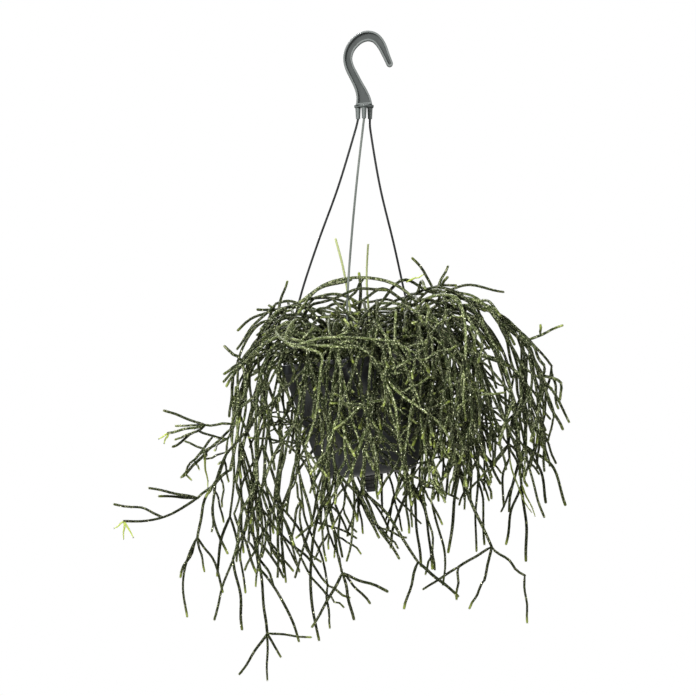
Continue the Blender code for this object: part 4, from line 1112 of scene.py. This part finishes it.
def pointAt(points, share):  # the point at a share of a polyline's length
    run = runAlong(points)
    return np.array([np.interp(share * run[-1], run, points[:, k]) for k in range(3)])


class Spray:  # a stem that stands in the soil, and all that grows from it

    def __init__(self, thicket, owner, rng):
        self.thicket, self.owner, self.rng = thicket, owner, rng
        self.stems = []

    def draw(self, key):  # a random value from a range of the plant's habit
        return self.rng.uniform(*plantHabit[key])

    # Adds a stem if it is clear of all that is placed, and returns its number, or nothing
    def add(self, points, radius, parent, atTip=True, young=False):
        if not self.thicket.isClear(points, radius, self.owner, parent < 0):
            return None
        self.thicket.add(points, radius, self.owner)
        self.stems.append(Stem(points, radius, parent, atTip, young))
        return len(self.stems) - 1

    # Places a listed stem and all that grows from it, swayed a little where it isn't clear
    def place(self, described, level=0, parent=-1, start=None):
        route = [np.array(point) * mm for point in described["route"]]
        if start is not None:
            route.insert(0, start)
        planned = smoothCurve(route, max(spanCount(lengthOf(np.array(route))), len(route) // 2))
        young = described["young"]
        for attempt in range(plantHabit["placeAttempts"]):
            route = swayed(planned, self.rng, attempt)
            number = self.add(route, stemRadius(level, young), parent, described["at"] == 1, young)
            if number is not None:
                break
        else:
            return
        for child in described["twigs"]:
            self.place(child, level + 1, number, pointAt(route, child["at"]))

    # Grows a stem out of the soil that arches over the rim, and all that hangs from it
    def grow(self, foot, angle):
        rimZ = potPlace[2]
        inner = 1 - math.hypot(*(foot - potPlace)[:2]) / plantHabit["rootAreaRadius"]
        for _ in range(plantHabit["growAttempts"]):
            azimuth = angle + self.draw("archTurn") * (1 + inner)
            limits = habit(azimuth)
            limits["lowest"] = rimZ + (limits["lowest"] - rimZ) * self.draw("hangShares")
            outward = limits["reach"] * self.draw("outward")
            outward -= plantHabit["rootAreaRadius"] * (1 - inner)
            length = max(plantHabit["shortestArch"], outward / plantHabit["archWidth"])
            shape = [self.draw(key) for key in ("riseDeg", "fallDeg", "archTurnDeg", "stiffness")]
            points = arched(foot, azimuth, *shape, length)
            if inBounds(points, limits) and self.add(points, stemRadius(0), -1) is not None:
                self.growTufts(0, azimuth, limits)
                self.growWhorl(0, 1, limits)
                return

    # Grows the whorl of shorter stems at the end of a stem, and theirs in turn
    def growWhorl(self, parent, level, limits):
        if level > limits["whorls"]:
            return
        end = self.stems[parent].points
        wanted = self.rng.choice(plantHabit["whorlCounts"][level])
        first = self.rng.uniform(0, 360)
        for i in range(wanted):
            for _ in range(plantHabit["growAttempts"]):
                length = self.rng.uniform(*plantHabit["whorlLengths"][level]) * limits["vigour"]
                turnDeg = first + 360 * i / wanted + self.draw("whorlTurnDeg")
                heading = whorlDirection(end[-1] - end[-2], self.draw("whorlSpreadDeg"), turnDeg)
                points = hanging(end[-1], heading, self.draw("droop"), length, self.rng)
                if self.addGrown(points, level, parent, level + 1, limits):
                    break

    # Grows the short stems that stand off the upper side of an arch and fill the crown
    def growTufts(self, parent, azimuth, limits):
        for _ in range(plantHabit["tufts"]):
            start = pointAt(self.stems[parent].points, self.draw("tuftPlaces"))
            for _ in range(plantHabit["growAttempts"]):
                toSide = azimuth + self.draw("tuftTurn")
                heading = directionOf(toSide, math.radians(self.draw("tuftSlopeDeg")))
                droop, length = self.draw("tuftDroop"), self.draw("tuftLengths") * mm
                points = hanging(start, heading, droop, length, self.rng)
                if self.addGrown(points, 1, parent, plantHabit["tuftWhorl"], limits, False):
                    break

    # Adds a stem that is in bounds and clear, and grows the whorl at its end
    def addGrown(self, points, level, parent, whorl, limits, atTip=True):
        if not inBounds(points, limits):
            return False
        number = self.add(points, stemRadius(level), parent, atTip)
        if number is not None:
            self.growWhorl(number, whorl, limits)
        return number is not None

    def growSides(self):  # grows short thin stems off the sides of those that hang
        for parent in range(1, len(self.stems)):
            line = self.stems[parent].points
            for _ in range(self.rng.choice(plantHabit["sides"])):
                start = pointAt(line, self.draw("sidePlaces"))
                if start[2] < plantHabit["sidesAbove"]:
                    continue
                spread, roundDeg = self.draw("sideSpreadDeg"), self.rng.uniform(0, 360)
                heading = whorlDirection(line[-1] - line[0], spread, roundDeg)
                droop, length = self.draw("sideDroop"), self.draw("sideLengths")
                points = hanging(start, heading, droop, length, self.rng)
                if np.min(points - np.array(cadLow)) > -plantHabit["sideReach"]:
                    self.add(points, plantHabit["sideRadius"], parent, False)


def directionOf(heading, slope):
    level = math.cos(slope)
    return np.array([level * math.cos(heading), level * math.sin(heading), math.sin(slope)])


# A stem that rises out of the soil, arches over and hangs; a stiffer one bends later
def arched(start, azimuth, riseDeg, fallDeg, turnDeg, stiffness, length):
    points = [start]
    steps = 24
    for i in range(steps):
        share = (i + 0.5) / steps
        slope = math.radians(riseDeg - (riseDeg + fallDeg) * share**stiffness)
        heading = azimuth + math.radians(turnDeg) * share
        points.append(points[-1] + directionOf(heading, slope) * length / steps)
    return smoothCurve(points[::4], spanCount(length) + 1)


# A stem that leaves a whorl in one direction, bends a little and sinks under its own weight
def hanging(start, direction, droop, length, rng):
    wander = plantHabit["wander"]
    bend = np.array([rng.gauss(0, wander), rng.gauss(0, wander), -droop])
    points = [start]
    heading = unit(direction)
    steps = 12
    for _ in range(steps):
        heading = unit(heading + bend * length / steps)
        points.append(points[-1] + heading * length / steps)
    return smoothCurve(points[::3], spanCount(length))


# A direction at an angle to the parent's end, turned round it
def whorlDirection(parent, spreadDeg, roundDeg):
    along = unit(parent)
    side = unit(np.cross(along, (0.31, 0.87, 0.4)))
    other = np.cross(along, side)
    spread, about = math.radians(spreadDeg), math.radians(roundDeg)
    outward = side * math.cos(about) + other * math.sin(about)
    return along * math.cos(spread) + outward * math.sin(spread)


def habit(azimuth):  # what a side of the plant is like, between its left and its right
    right = 0.5 + 0.5 * math.cos(azimuth)
    limits = {"whorls": plantHabit["whorls"][right > plantHabit["rightFrom"]]}
    shares = {"reach": right ** plantHabit["reachCurve"], "lowest": right, "vigour": right}
    for key, share in shares.items():
        onLeft, onRight = plantHabit[key]
        limits[key] = onLeft + (onRight - onLeft) * share
    return limits


# Whether a stem keeps under the dome of the crown, and within its side's reach and depth
def inBounds(points, limits):
    away = np.hypot(points[:, 0] - potPlace[0], points[:, 1]) / limits["reach"]
    shoulder, edge = plantHabit["domeShoulder"], plantHabit["domeEdge"]
    pastShoulder = np.clip((away - shoulder) / (edge - shoulder), 0, None)
    dome = potPlace[2] + plantHabit["domeHeight"] * (1 - pastShoulder**2)
    return (away < 1).all() and (points[:, 2] < dome).all() and points[-1, 2] > limits["lowest"]


def soilPoint(radius, angle):  # a root's foot in the soil, in the plant's frame
    depth = soilLevel(radius) + soilSizes["rootDepth"]
    return potPlace + potTurn @ np.array([radius * math.cos(angle), radius * math.sin(angle), -depth])


def planted(described):  # a listed spray, its foot at root depth below where it comes out
    local = (np.array(described["route"][0]) * mm - potPlace) @ potTurn
    foot = soilPoint(math.hypot(local[0], local[1]), math.atan2(local[1], local[0]))
    return {**described, "route": [tuple(foot / mm), *described["route"][1:]]}


# Grows the listed sprays and then those of the rule, by name
def growPlant(thicket, placed, label, before=0):
    rng = random.Random(plantHabit["seed"])
    sprays = {}
    plantHabit["stemsApart"] = plantHabit["placedApart"]
    for name, described in placed.items():
        sprays[name] = Spray(thicket, before + len(sprays) + 1, rng)
        sprays[name].place(planted(described))
    plantHabit["stemsApart"] = plantHabit["grownApart"]
    spots = plantHabit["rootSpots"]
    for spot in range(plantHabit["rootRounds"] * spots):
        radius = plantHabit["rootAreaRadius"] * math.sqrt((spot * 7 % spots + 0.5) / spots)
        angle = (spot + plantHabit["firstSpot"]) * goldenAngle
        spray = Spray(thicket, before + len(sprays) + 1, rng)
        spray.grow(soilPoint(radius, angle), angle)
        if spray.stems:
            sprays[f"{label}_{len(sprays) - len(placed) + 1:02d}"] = spray
        if len(sprays) == len(placed) + plantHabit["sprays"]:
            break
    return sprays


def leaveRoomForHanger(thicket):  # adds the strands and the ears, which the stems grow round
    for side, angle in potSizes["earAnglesDeg"].items():
        thicket.add(strandLine(side, 11), hangerSizes["strandRadius"] + plantHabit["strandRoom"], 0)
        ear = onRing(potSizes["earRadius"], angle) - Vector((0, 0, potSizes["earSize"][2]))
        below = ear - Vector((0, 0, hangerSizes["buttonLength"]))
        thicket.add([potFrame @ ear, potFrame @ below], plantHabit["earClearance"], 0)


# Stems: each a smooth closed tube with a narrow neck, a round tip and short bristles
stemForm = {
    "sides": 8,
    "ringEvery": 5 * mm,
    "radii": (1.5 * mm, 1.38 * mm, 1.28 * mm, 1.18 * mm, 1.1 * mm),
    "shootRadius": 1.15 * mm,
    "thickness": (0.9, 1.1),
    "neck": 0.62,
    "neckLength": 4 * mm,
    # The rings that close the tip: how far on and how wide each is, in radii, and then the poles
    "tipRings": ((0.55, 0.84), (0.9, 0.45)),
    "tipPole": 1.02,
    "footPole": 0.3,
    "sway": 0.5 * mm,
    "swell": 0.05,
    "swellLength": 11 * mm,
    "taper": 0.1,
    "youngTaper": 0.55,
    # Tones, the light and shade painted on the stems: how lit they are painted at random and by level,
    # and how much painted shade darkens them at a height
    "toneOdds": (1.3, 2.0),
    "brightest": 0.75,
    "levelTone": (0.17, 0.3),
    "shadeHeights": (-470 * mm, -350 * mm, -290 * mm),
    "shades": (0.25, 1.0, 0.7),
    "longTip": 22 * mm,  # a young stem longer than this is less fresh
    "freshTip": 0.85,
    "freshStem": 0.35,
    "freshLength": 9 * mm,
    "freshness": (0.05, 0.15, 0.45),
    # Areoles, the spots that bristles grow from: how far apart, how evenly and how deep they sit
    "areoleEvery": 3 * mm,
    "perAreole": 4,
    "areoleTurn": 0.35,
    "areoleFan": 0.4,
    "areoleScatter": 0.3 * mm,
    "bristleFoot": 0.86,
    "padFoot": 0.93,
    "bristleScatter": 0.16,
    "bristleLength": (0.6 * mm, 1.6 * mm),
    "bristleWidth": (0.18 * mm, 0.3 * mm),
    "leanDeg": (25, 65),
    "padWidth": 0.9 * mm,
    "padSpread": (0.35, 1.15),
    "padHeight": 0.24 * mm,
    "tipPadWidth": 1.5 * mm,
    "tuft": 9,
    "shootTuft": 14,
    "freeTipTuft": 1.5,
    "tuftSpread": 0.9,
    "tuftScatter": 0.15,
    # The added sprays: their thickness, and the least tone of those whose names start like this, which is
    # painted light that shows them as lit
    "addedThickness": 0.82,
    "paleThickness": 0.88,
    "pale": {"front": 0.42, "light": 0.6},
}


class MeshParts:  # corners, faces and their looks, gathered for one mesh
    def __init__(self):
        self.corners, self.faces, self.looks, self.smooth = [], [], [], []
        self.tone, self.fresh, self.count = [], [], 0

    def add(self, corners, faces, look, smooth, tone, fresh):
        self.corners.append(corners)
        for group in faces:
            self.faces.append(group + self.count)
            self.looks.append(np.full(len(group), look))
            self.smooth.append(np.full(len(group), smooth))
        self.tone.append(np.broadcast_to(tone, len(corners)))
        self.fresh.append(np.broadcast_to(fresh, len(corners)))
        self.count += len(corners)

    def mesh(self, name):
        mesh = bpy.data.meshes.new(name)
        corners = np.vstack(self.corners)
        mesh.vertices.add(len(corners))
        mesh.vertices.foreach_set("co", corners.ravel().astype(np.float32))
        totals = np.concatenate([np.full(len(group), group.shape[1]) for group in self.faces])
        loops = np.concatenate([group.ravel() for group in self.faces])
        mesh.loops.add(len(loops))
        mesh.loops.foreach_set("vertex_index", loops.astype(np.int32))
        mesh.polygons.add(len(totals))
        starts = np.concatenate([[0], np.cumsum(totals)[:-1]])
        mesh.polygons.foreach_set("loop_start", starts.astype(np.int32))
        mesh.polygons.foreach_set("loop_total", totals.astype(np.int32))
        mesh.polygons.foreach_set("material_index", np.concatenate(self.looks).astype(np.int32))
        mesh.polygons.foreach_set("use_smooth", np.concatenate(self.smooth).astype(bool))
        for key, values in (("tone", self.tone), ("fresh", self.fresh)):
            layer = mesh.attributes.new(key, "FLOAT", "POINT")
            layer.data.foreach_set("value", np.concatenate(values).astype(np.float32))
        mesh.update(calc_edges=True)
        mesh.validate()
        return mesh


# Directions along a line, and a side direction that is carried along it without a twist
def carriedSides(points):
    along = np.gradient(points, axis=0)
    along /= np.linalg.norm(along, axis=1)[:, None]
    side = unit(np.cross(along[0], (0.31, 0.87, 0.4)))
    sides = []
    for direction in along:
        side = unit(side - direction * np.dot(side, direction))
        sides.append(side)
    sides = np.array(sides)
    return along, sides, np.cross(along, sides)


def tubeShape(points, radii, sides, along, side, other):  # a closed tube whose ends are poles
    angles = np.arange(sides) * 2 * math.pi / sides
    cosines, sines = np.cos(angles)[None, :, None], np.sin(angles)[None, :, None]
    out = side[:, None, :] * cosines + other[:, None, :] * sines
    rings = points[:, None, :] + out * radii[:, None, None]
    # The tip is drawn in over two more rings to its pole
    tip, r, forward = points[-1], radii[-1], along[-1]
    dome = [tip + forward * on * r + out[-1] * wide * r for on, wide in stemForm["tipRings"]]
    rings = np.vstack([rings.reshape(-1, 3), *dome])
    count = len(points) + 2
    foot = points[0] - along[0] * stemForm["footPole"] * radii[0]
    pole = tip + forward * stemForm["tipPole"] * r
    corners = np.vstack([rings, foot, pole])
    ring, step = np.meshgrid(np.arange(count - 1), np.arange(sides), indexing="ij")
    here, there = ring * sides + step, ring * sides + (step + 1) % sides
    quads = np.stack([here, there, there + sides, here + sides], axis=-1).reshape(-1, 4)
    first, last = np.arange(sides), (count - 1) * sides + np.arange(sides)
    footIndex, poleIndex = count * sides, count * sides + 1
    foots = np.stack([np.roll(first, -1), first, np.full(sides, footIndex)], axis=-1)
    poles = np.stack([last, np.roll(last, -1), np.full(sides, poleIndex)], axis=-1)
    return corners, [quads, np.vstack([foots, poles])]


def bristleShapes(bases, directions, lengths, widths):  # slim closed pyramids on three-cornered feet
    reference = np.where(np.abs(directions[:, 2:3]) < 0.8, (0.0, 0.0, 1.0), (1.0, 0.0, 0.0))
    side = np.cross(directions, reference)
    side /= np.linalg.norm(side, axis=1)[:, None]
    other = np.cross(directions, side)
    corners = np.empty((len(bases), 4, 3))
    for k in range(3):
        angle = 2 * math.pi * k / 3
        corners[:, k] = bases + (side * math.cos(angle) + other * math.sin(angle)) * widths[:, None] / 2
    corners[:, 3] = bases + directions * lengths[:, None]
    pattern = np.array([[0, 1, 3], [1, 2, 3], [2, 0, 3], [2, 1, 0]])
    faces = (np.arange(len(bases))[:, None, None] * 4 + pattern[None]).reshape(-1, 3)
    return corners.reshape(-1, 3), [faces]


def unitRows(vectors):
    return vectors / np.linalg.norm(vectors, axis=1)[:, None]


def addStem(parts, stem, level, slim, pale, isTip, dice):
    form, young = stemForm, stem.young
    radius = form["shootRadius"] if young else form["radii"][min(level, len(form["radii"]) - 1)]
    radius *= slim * dice.uniform(*form["thickness"])
    length = lengthOf(stem.points)
    points = smoothCurve(stem.points, max(3, round(length / form["ringEvery"])))
    run = runAlong(points)
    share = run / run[-1]
    wave, wave2, wave3 = (np.sin(n * math.pi * share[:, None]) for n in (1, 2, 3))
    bend = dice.normal(0, form["sway"], (2, 3))
    points = points + bend[0] * wave * wave2 + bend[1] * wave3
    along, side, other = carriedSides(points)
    neck = form["neck"] + (1 - form["neck"]) * np.clip(run / form["neckLength"], 0, 1) ** 0.6
    swell = 1 + form["swell"] * np.sin(run / form["swellLength"] + dice.uniform(0, 6))
    swell -= form["taper"] * share
    radii = radius * (swell if stem.parent < 0 else neck * swell)
    if young and stem.parent >= 0:  # a young tip is drawn out thin
        radii *= 1 - form["youngTaper"] * share
    # The tone is painted light and shade: lit at random, darker by level, and darker as painted shade low
    # in the fringe and at the top of the crown
    loss, least = form["levelTone"]
    own = min(form["brightest"], dice.beta(*form["toneOdds"]))
    tone = pale + (1 - pale) * own * max(least, 1 - loss * level)
    tone *= np.interp(points[:, 2].mean(), form["shadeHeights"], form["shades"])
    # A stem is fresh if it is young, and towards the tip of the last ones
    allOver = form["freshTip" if length < form["longTip"] else "freshStem"] if young else 0.0
    nearTip = np.clip((run - run[-1] + form["freshLength"]) / form["freshLength"], 0, 1) ** 2
    fresh = np.clip(allOver + isTip * nearTip * dice.choice(form["freshness"]), 0, 1)
    sides = form["sides"]
    corners, faces = tubeShape(points, radii, sides, along, side, other)
    freshness = np.concatenate([np.repeat(fresh, sides), np.full(2 * sides, fresh[-1]), fresh[[0, -1]]])
    parts.add(corners, faces, 0, True, tone, freshness)
    addBristles(parts, stem, (points, along, side, other), run, radii, tone, isTip, dice)


# Bristles: small groups set in a spiral, each on a woolly pad, and a tuft on the tip
def addBristles(parts, stem, line, run, radii, tone, isTip, dice):
    form, each = stemForm, stemForm["perAreole"]
    count = max(1, int(lengthOf(stem.points) / form["areoleEvery"]))
    places = (np.arange(count) + 0.5) * form["areoleEvery"]
    places = np.repeat(places[places < run[-1]], each)
    if stem.parent < 0:
        places = places[places > 1.2 * soilSizes["rootDepth"]]
    order = np.arange(len(places))
    angles = order // each * goldenAngle + dice.normal(0, form["areoleTurn"], len(places))
    angles += (order % each - (each - 1) / 2) * form["areoleFan"]
    places = np.clip(places + dice.normal(0, form["areoleScatter"], len(places)), 0, run[-1])
    centres, forward, sideAt, otherAt = (
        np.column_stack([np.interp(places, run, values[:, k]) for k in range(3)]) for values in line
    )
    out = unitRows(sideAt * np.cos(angles)[:, None] + otherAt * np.sin(angles)[:, None])
    radiusAt = np.interp(places, run, radii)
    bases = centres + out * (radiusAt * form["bristleFoot"])[:, None]
    lean = np.radians(dice.uniform(*form["leanDeg"], len(places)))[:, None]
    directions = out * np.cos(lean) + forward * np.sin(lean)
    directions += dice.normal(0, form["bristleScatter"], (len(places), 3))

    tip, ahead, side, other = (values[-1] for values in line)
    tuft = form["shootTuft"] if stem.young else form["tuft"]
    if isTip or stem.young:
        tuft = int(tuft * form["freeTipTuft"])
    tuftAngles = (np.arange(tuft) * goldenAngle)[:, None]
    spread = np.sqrt((np.arange(tuft) + 0.5) / tuft)[:, None]
    outTip = side * np.cos(tuftAngles) + other * np.sin(tuftAngles)
    tipBases = tip + (outTip * spread * 0.75 + ahead * (0.75 - 0.35 * spread)) * radii[-1]
    tipDirections = ahead + outTip * spread * form["tuftSpread"]
    tipDirections += dice.normal(0, form["tuftScatter"], (tuft, 3))
    bases, directions = np.vstack([bases, tipBases]), unitRows(np.vstack([directions, tipDirections]))
    lengths = dice.uniform(*form["bristleLength"], len(bases))
    widths = dice.uniform(*form["bristleWidth"], len(bases))
    # A bristle's tone is partly random and partly painted light: brighter on a stem painted as lit
    tones = dice.uniform(0, 1, len(bases)) ** 1.6 * (0.35 + 0.6 * tone)

    middle = slice(1, None, each)
    pads = centres[middle] + out[middle] * (radiusAt * form["padFoot"])[middle, None]
    least, more = form["padSpread"]
    padWidths = form["padWidth"] * (least + more * dice.uniform(0, 1, len(pads)) ** 2)
    bases = np.vstack([bases, pads, tip + ahead * 0.8 * radii[-1]])
    directions = np.vstack([directions, out[middle], ahead])
    lengths = np.concatenate([lengths, np.full(len(pads) + 1, form["padHeight"])])
    widths = np.concatenate([widths, padWidths, [form["tipPadWidth"]]])
    tones = np.concatenate([tones, dice.uniform(0, 1, len(pads) + 1) ** 0.8])
    corners, faces = bristleShapes(bases, directions, lengths, widths)
    parts.add(corners, faces, 1, False, np.repeat(tones, 4), 0.0)


def buildSpray(name, spray, young, replaced, slim=1, pale=0):
    dice = np.random.default_rng(sum(map(ord, name)) * 7919)
    parts = MeshParts()
    hasChild = {stem.parent for stem in spray.stems if stem.atTip}
    levels = []
    for number, stem in enumerate(spray.stems):
        levels.append(0 if stem.parent < 0 else levels[stem.parent] + 1)
        addStem(parts, stem, levels[number], slim, pale, number not in hasChild, dice)
    piece = bpy.data.objects.new(name, parts.mesh(name))
    bpy.context.scene.collection.objects.link(piece)
    for look in ("shoot", "shootBristle") if young else ("stem", "bristle"):
        piece.data.materials.append(looks[look])
    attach(piece, "root")
    if replaced:
        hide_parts(replaced)


# The thinner sprays that follow single stems in front of the pot and in the fringe
fillSprays = {
    "front_hub": twig(
        (-30, -36, -297), (-36, -64, -256), (-36, -112, -268), (-20, -124, -279), (-14, -128, -278),
        (-2, -132, -284), (9, -133, -299),
        twig(
            (15, -134, -312), (19, -134, -330), (24, -132, -352), (29, -128, -376),
            twig(
                (18, -138, -321), (1, -140, -322), (-12, -139, -331), (-29, -135, -345),
                twig((3, -141, -334), (7, -140, -345), at=0.45), at=0.3,
            ),
            twig((25, -126, -391), (23, -124, -405)), twig((34, -124, -389), (37, -122, -404)),
        ),
        twig(
            (18, -134, -307), (29, -134, -317), (47, -132, -330), (62, -128, -343), (71, -124, -359),
            twig((74, -121, -374), (73, -118, -390)), twig((80, -123, -372), (88, -122, -386)),
            twig((52, -134, -342), (53, -134, -359), at=0.65),
        ),
        twig(
            (18, -135, -296), (28, -134, -291), (42, -128, -280), (52, -120, -265),
            twig((61, -123, -272), (69, -124, -281), (82, -124, -295), (84, -122, -308)),
            twig((57, -118, -256), (66, -116, -249)), twig((47, -124, -257), (44, -128, -250)),
        ),
    ),
    "front_level": twig(
        (-48, -26, -298), (-66, -46, -256), (-80, -66, -262), (-66, -116, -273), (-45, -125, -268),
        (-19, -132, -267), (4, -136, -269),
        twig(
            (20, -138, -271), (34, -138, -278),
            twig((43, -138, -285), (50, -137, -296)), twig((38, -140, -288), (37, -140, -302)),
        ),
        twig((12, -140, -278), (16, -142, -292)), twig((-15, -134, -259), (-21, -134, -252), at=0.85),
        twig((-38, -131, -275), (-28, -134, -274), (-15, -135, -276), at=0.5),
    ),
    "front_fall": twig(
        (-20, -40, -296), (-26, -72, -254), (-30, -120, -272), (-25, -128, -280), (-24, -134, -295),
        (-24, -135, -321), (-25, -134, -335),
        twig(
            (-18, -138, -326), (-12, -137, -346), (-6, -134, -363),
            twig((-4, -132, -374), (-7, -129, -386)), twig((1, -134, -372), (8, -132, -382)), at=0.7,
        ),
        twig(
            (-31, -133, -348), (-36, -130, -365),
            twig((-37, -128, -377), (-34, -126, -389)), twig((-44, -128, -374), (-50, -126, -384)),
        ),
        twig(
            (-21, -134, -350), (-20, -132, -370),
            twig((-15, -130, -382), (-13, -126, -398)), twig((-25, -130, -381), (-28, -127, -395)),
        ),
    ),
    "left_fall": twig(
        (-42, -36, -298), (-60, -66, -252), (-71, -112, -272), (-42, -124, -280), (-42, -129, -297),
        (-44, -131, -319), (-47, -130, -338), (-54, -126, -359),
        twig(
            (-60, -124, -372), (-63, -121, -390),
            twig((-61, -119, -402), (-57, -118, -413)), twig((-68, -118, -400), (-73, -116, -413)),
        ),
        twig((-52, -124, -374), (-48, -121, -388)),
        twig((-37, -134, -329), (-31, -134, -341), (-28, -133, -356), at=0.6),
    ),
    "low_left": twig(
        (-36, -44, -298), (-58, -70, -256), (-80, -84, -300), (-67, -84, -322), (-63, -78, -365),
        (-58, -72, -409),
        twig(
            (-56, -70, -427), (-52, -69, -436), (-45, -68, -448), (-41, -67, -459), (-36, -64, -485),
            twig((-36, -62, -500), (-34, -60, -522)), twig((-28, -66, -489), (-17, -68, -495)),
        ),
        twig((-60, -73, -428), (-55, -73, -450), (-47, -74, -458), (-42, -74, -463)),
        twig(
            (-63, -70, -420), (-67, -66, -438), (-62, -64, -456),
            twig(
                (-56, -63, -468), (-47, -62, -481), (-37, -61, -493),
                twig((-30, -60, -500), (-22, -60, -504)),
            ),
        ),
    ),
    "low_centre": twig(
        (-14, -46, -297), (-26, -78, -254), (-34, -100, -290), (-37, -100, -321), (-41, -94, -365),
        (-39, -86, -409),
        twig(
            (-37, -84, -426), (-35, -83, -437),
            twig((-35, -82, -451)), twig((-28, -81, -453), (-24, -79, -471)),
            twig((-41, -84, -447), (-47, -84, -460)),
        ),
        twig((-27, -86, -417), (-26, -84, -441), (-23, -82, -458)),
        twig(
            (-47, -82, -419), (-47, -80, -428),
            twig((-34, -80, -432), (-22, -80, -435), (-11, -80, -442)),
            twig((-56, -78, -433), (-63, -76, -442)),
        ),
        twig(
            (-30, -78, -431), (-28, -74, -441),
            twig((-11, -72, -450), (-7, -72, -456)), twig((-30, -74, -459)),
        ),
    ),
    "low_front": twig(
        (2, -42, -295), (-2, -76, -252), (-8, -116, -284), (-15, -120, -304), (-16, -120, -338),
        (-15, -112, -381),
        twig((-13, -108, -409), (-13, -106, -425), (-15, -104, -445), (-19, -102, -460)),
        twig(
            (-3, -108, -416), (3, -107, -424), (11, -106, -432),
            twig((18, -105, -440), (25, -104, -449)), twig((22, -106, -436), (32, -106, -440)),
        ),
        twig(
            (-20, -108, -398), (-22, -105, -414),
            twig((-18, -104, -426), (-11, -102, -435)), twig((-28, -104, -425), (-32, -102, -432)),
        ),
    ),
    "left_green": twig(
        (-46, -4, -298), (-70, -10, -258), (-100, -18, -270), (-109, -22, -298), (-118, -24, -341),
        (-125, -26, -357),
        twig((-137, -28, -363), (-150, -30, -371), twig((-158, -31, -379), (-166, -32, -391))),
        twig((-139, -22, -355), (-152, -20, -350), twig((-161, -20, -352), (-172, -20, -358))),
        twig(
            (-127, -28, -372), (-132, -30, -388),
            twig((-139, -31, -397), (-144, -32, -408)), twig((-129, -30, -403), (-130, -30, -417)),
        ),
    ),
    "low_right": twig(
        (22, -36, -291), (34, -66, -248), (38, -90, -290), (37, -90, -321), (39, -86, -356),
        (41, -78, -399),
        twig((38, -78, -413), (38, -76, -432)),
        twig(
            (50, -74, -418), (55, -72, -436), (56, -70, -453),
            twig((58, -69, -470)), twig((52, -70, -464), (50, -70, -474)),
        ),
        twig(
            (48, -80, -404), (55, -80, -411),
            twig((61, -78, -433), (66, -76, -454), (67, -75, -467), (65, -74, -483)),
            twig((61, -80, -419), (64, -80, -430)),
        ),
        twig((54, -76, -399), (67, -75, -402), (78, -74, -408)),
    ),
    "low_right_outer": twig(
        (36, -14, -289), (56, -30, -244), (88, -42, -262), (90, -46, -305), (93, -44, -349),
        (95, -40, -392),
        twig((96, -39, -411), (95, -38, -429), (96, -37, -456)),
        twig((101, -40, -402), (102, -38, -429), (103, -37, -450)),
        twig((104, -42, -391), (109, -42, -409)), twig((88, -44, -402), (85, -46, -418)),
    ),
    "right_light": twig(
        (38, 2, -289), (62, -8, -242), (100, -16, -256), (120, -20, -301), (123, -22, -341),
        (126, -24, -374),
        twig((130, -25, -390), (137, -27, -409), (145, -28, -422), young=True),
        twig((120, -24, -390), (121, -24, -417)),
    ),
    "light_fall": twig(
        (30, -30, -291), (46, -60, -240), (72, -100, -231), (80, -116, -238), (84, -122, -254),
        (85, -124, -274), (83, -124, -298),
        twig((94, -122, -264), (98, -122, -271), (94, -122, -288), at=0.62),
        twig((78, -123, -309), (75, -120, -323)), twig((88, -124, -311), (94, -121, -324)),
        twig((81, -124, -317), (83, -121, -338)),
    ),
    "light_cluster": twig(
        (20, -46, -291), (28, -84, -246), (30, -112, -284), (47, -122, -321), (52, -118, -355),
        (55, -112, -380),
        twig((53, -110, -385), (50, -109, -395)), twig((58, -110, -387), (60, -109, -396)),
    ),
}

# What differs for the thinner sprays, which press a little into each other and close the crown
thinHabit = {
    "solidRadii": (1.5 * mm, 1.4 * mm, 1.3 * mm, 1.2 * mm, 1.15 * mm),
    "placedApart": -2.2 * mm,
    "grownApart": -0.9 * mm,
    "twigsApart": -0.6 * mm,
    "strandRoom": 1.5 * mm,
    "spanLength": 16 * mm,
    "seed": 41,
    "sprays": 20,
    "rootRounds": 6,
    "firstSpot": 200,
    "tufts": 5,
    "reach": (84 * mm, 124 * mm),
    "lowest": (-405 * mm, -385 * mm),
    "vigour": (0.85, 0.7),
    "whorlSpreadDeg": (25, 75),
    "droop": (3, 11),
    "domeHeight": 44 * mm,
    "sides": (0, 1, 2, 3),
    "sidePlaces": (0.2, 0.85),
    "sideSpreadDeg": (35, 85),
    "sideDroop": (-6, 9),
    "sideLengths": (12 * mm, 38 * mm),
    "sideRadius": 1.0 * mm,
    "sidesAbove": -395 * mm,
    "sideReach": 6 * mm,  # past the solids' box
}
thicket = Thicket()
leaveRoomForHanger(thicket)
sprays = growPlant(thicket, {**youngShoots, **placedSprays}, "spray")
tell(f"{len(sprays)} sprays have grown, with {sum(len(s.stems) for s in sprays.values())} stems")
plantHabit.update(thinHabit)
leaveRoomForHanger(thicket)
moreSprays = growPlant(thicket, fillSprays, "crown_stems", len(sprays))
for spray in moreSprays.values():
    spray.growSides()
added = sum(len(spray.stems) for spray in moreSprays.values())
tell(f"{len(moreSprays)} more fill the gaps, with {added} stems")
for name, spray in sprays.items():
    buildSpray(name + "_grown", spray, name in youngShoots, name)
for name, spray in moreSprays.items():
    # Sprays whose names start with front or light get a raised least tone: painted light
    pale = stemForm["pale"].get(name.split("_")[0], 0)
    buildSpray(name, spray, False, None, stemForm["paleThickness" if pale else "addedThickness"], pale)
tell("the stems and their bristles are modelled")
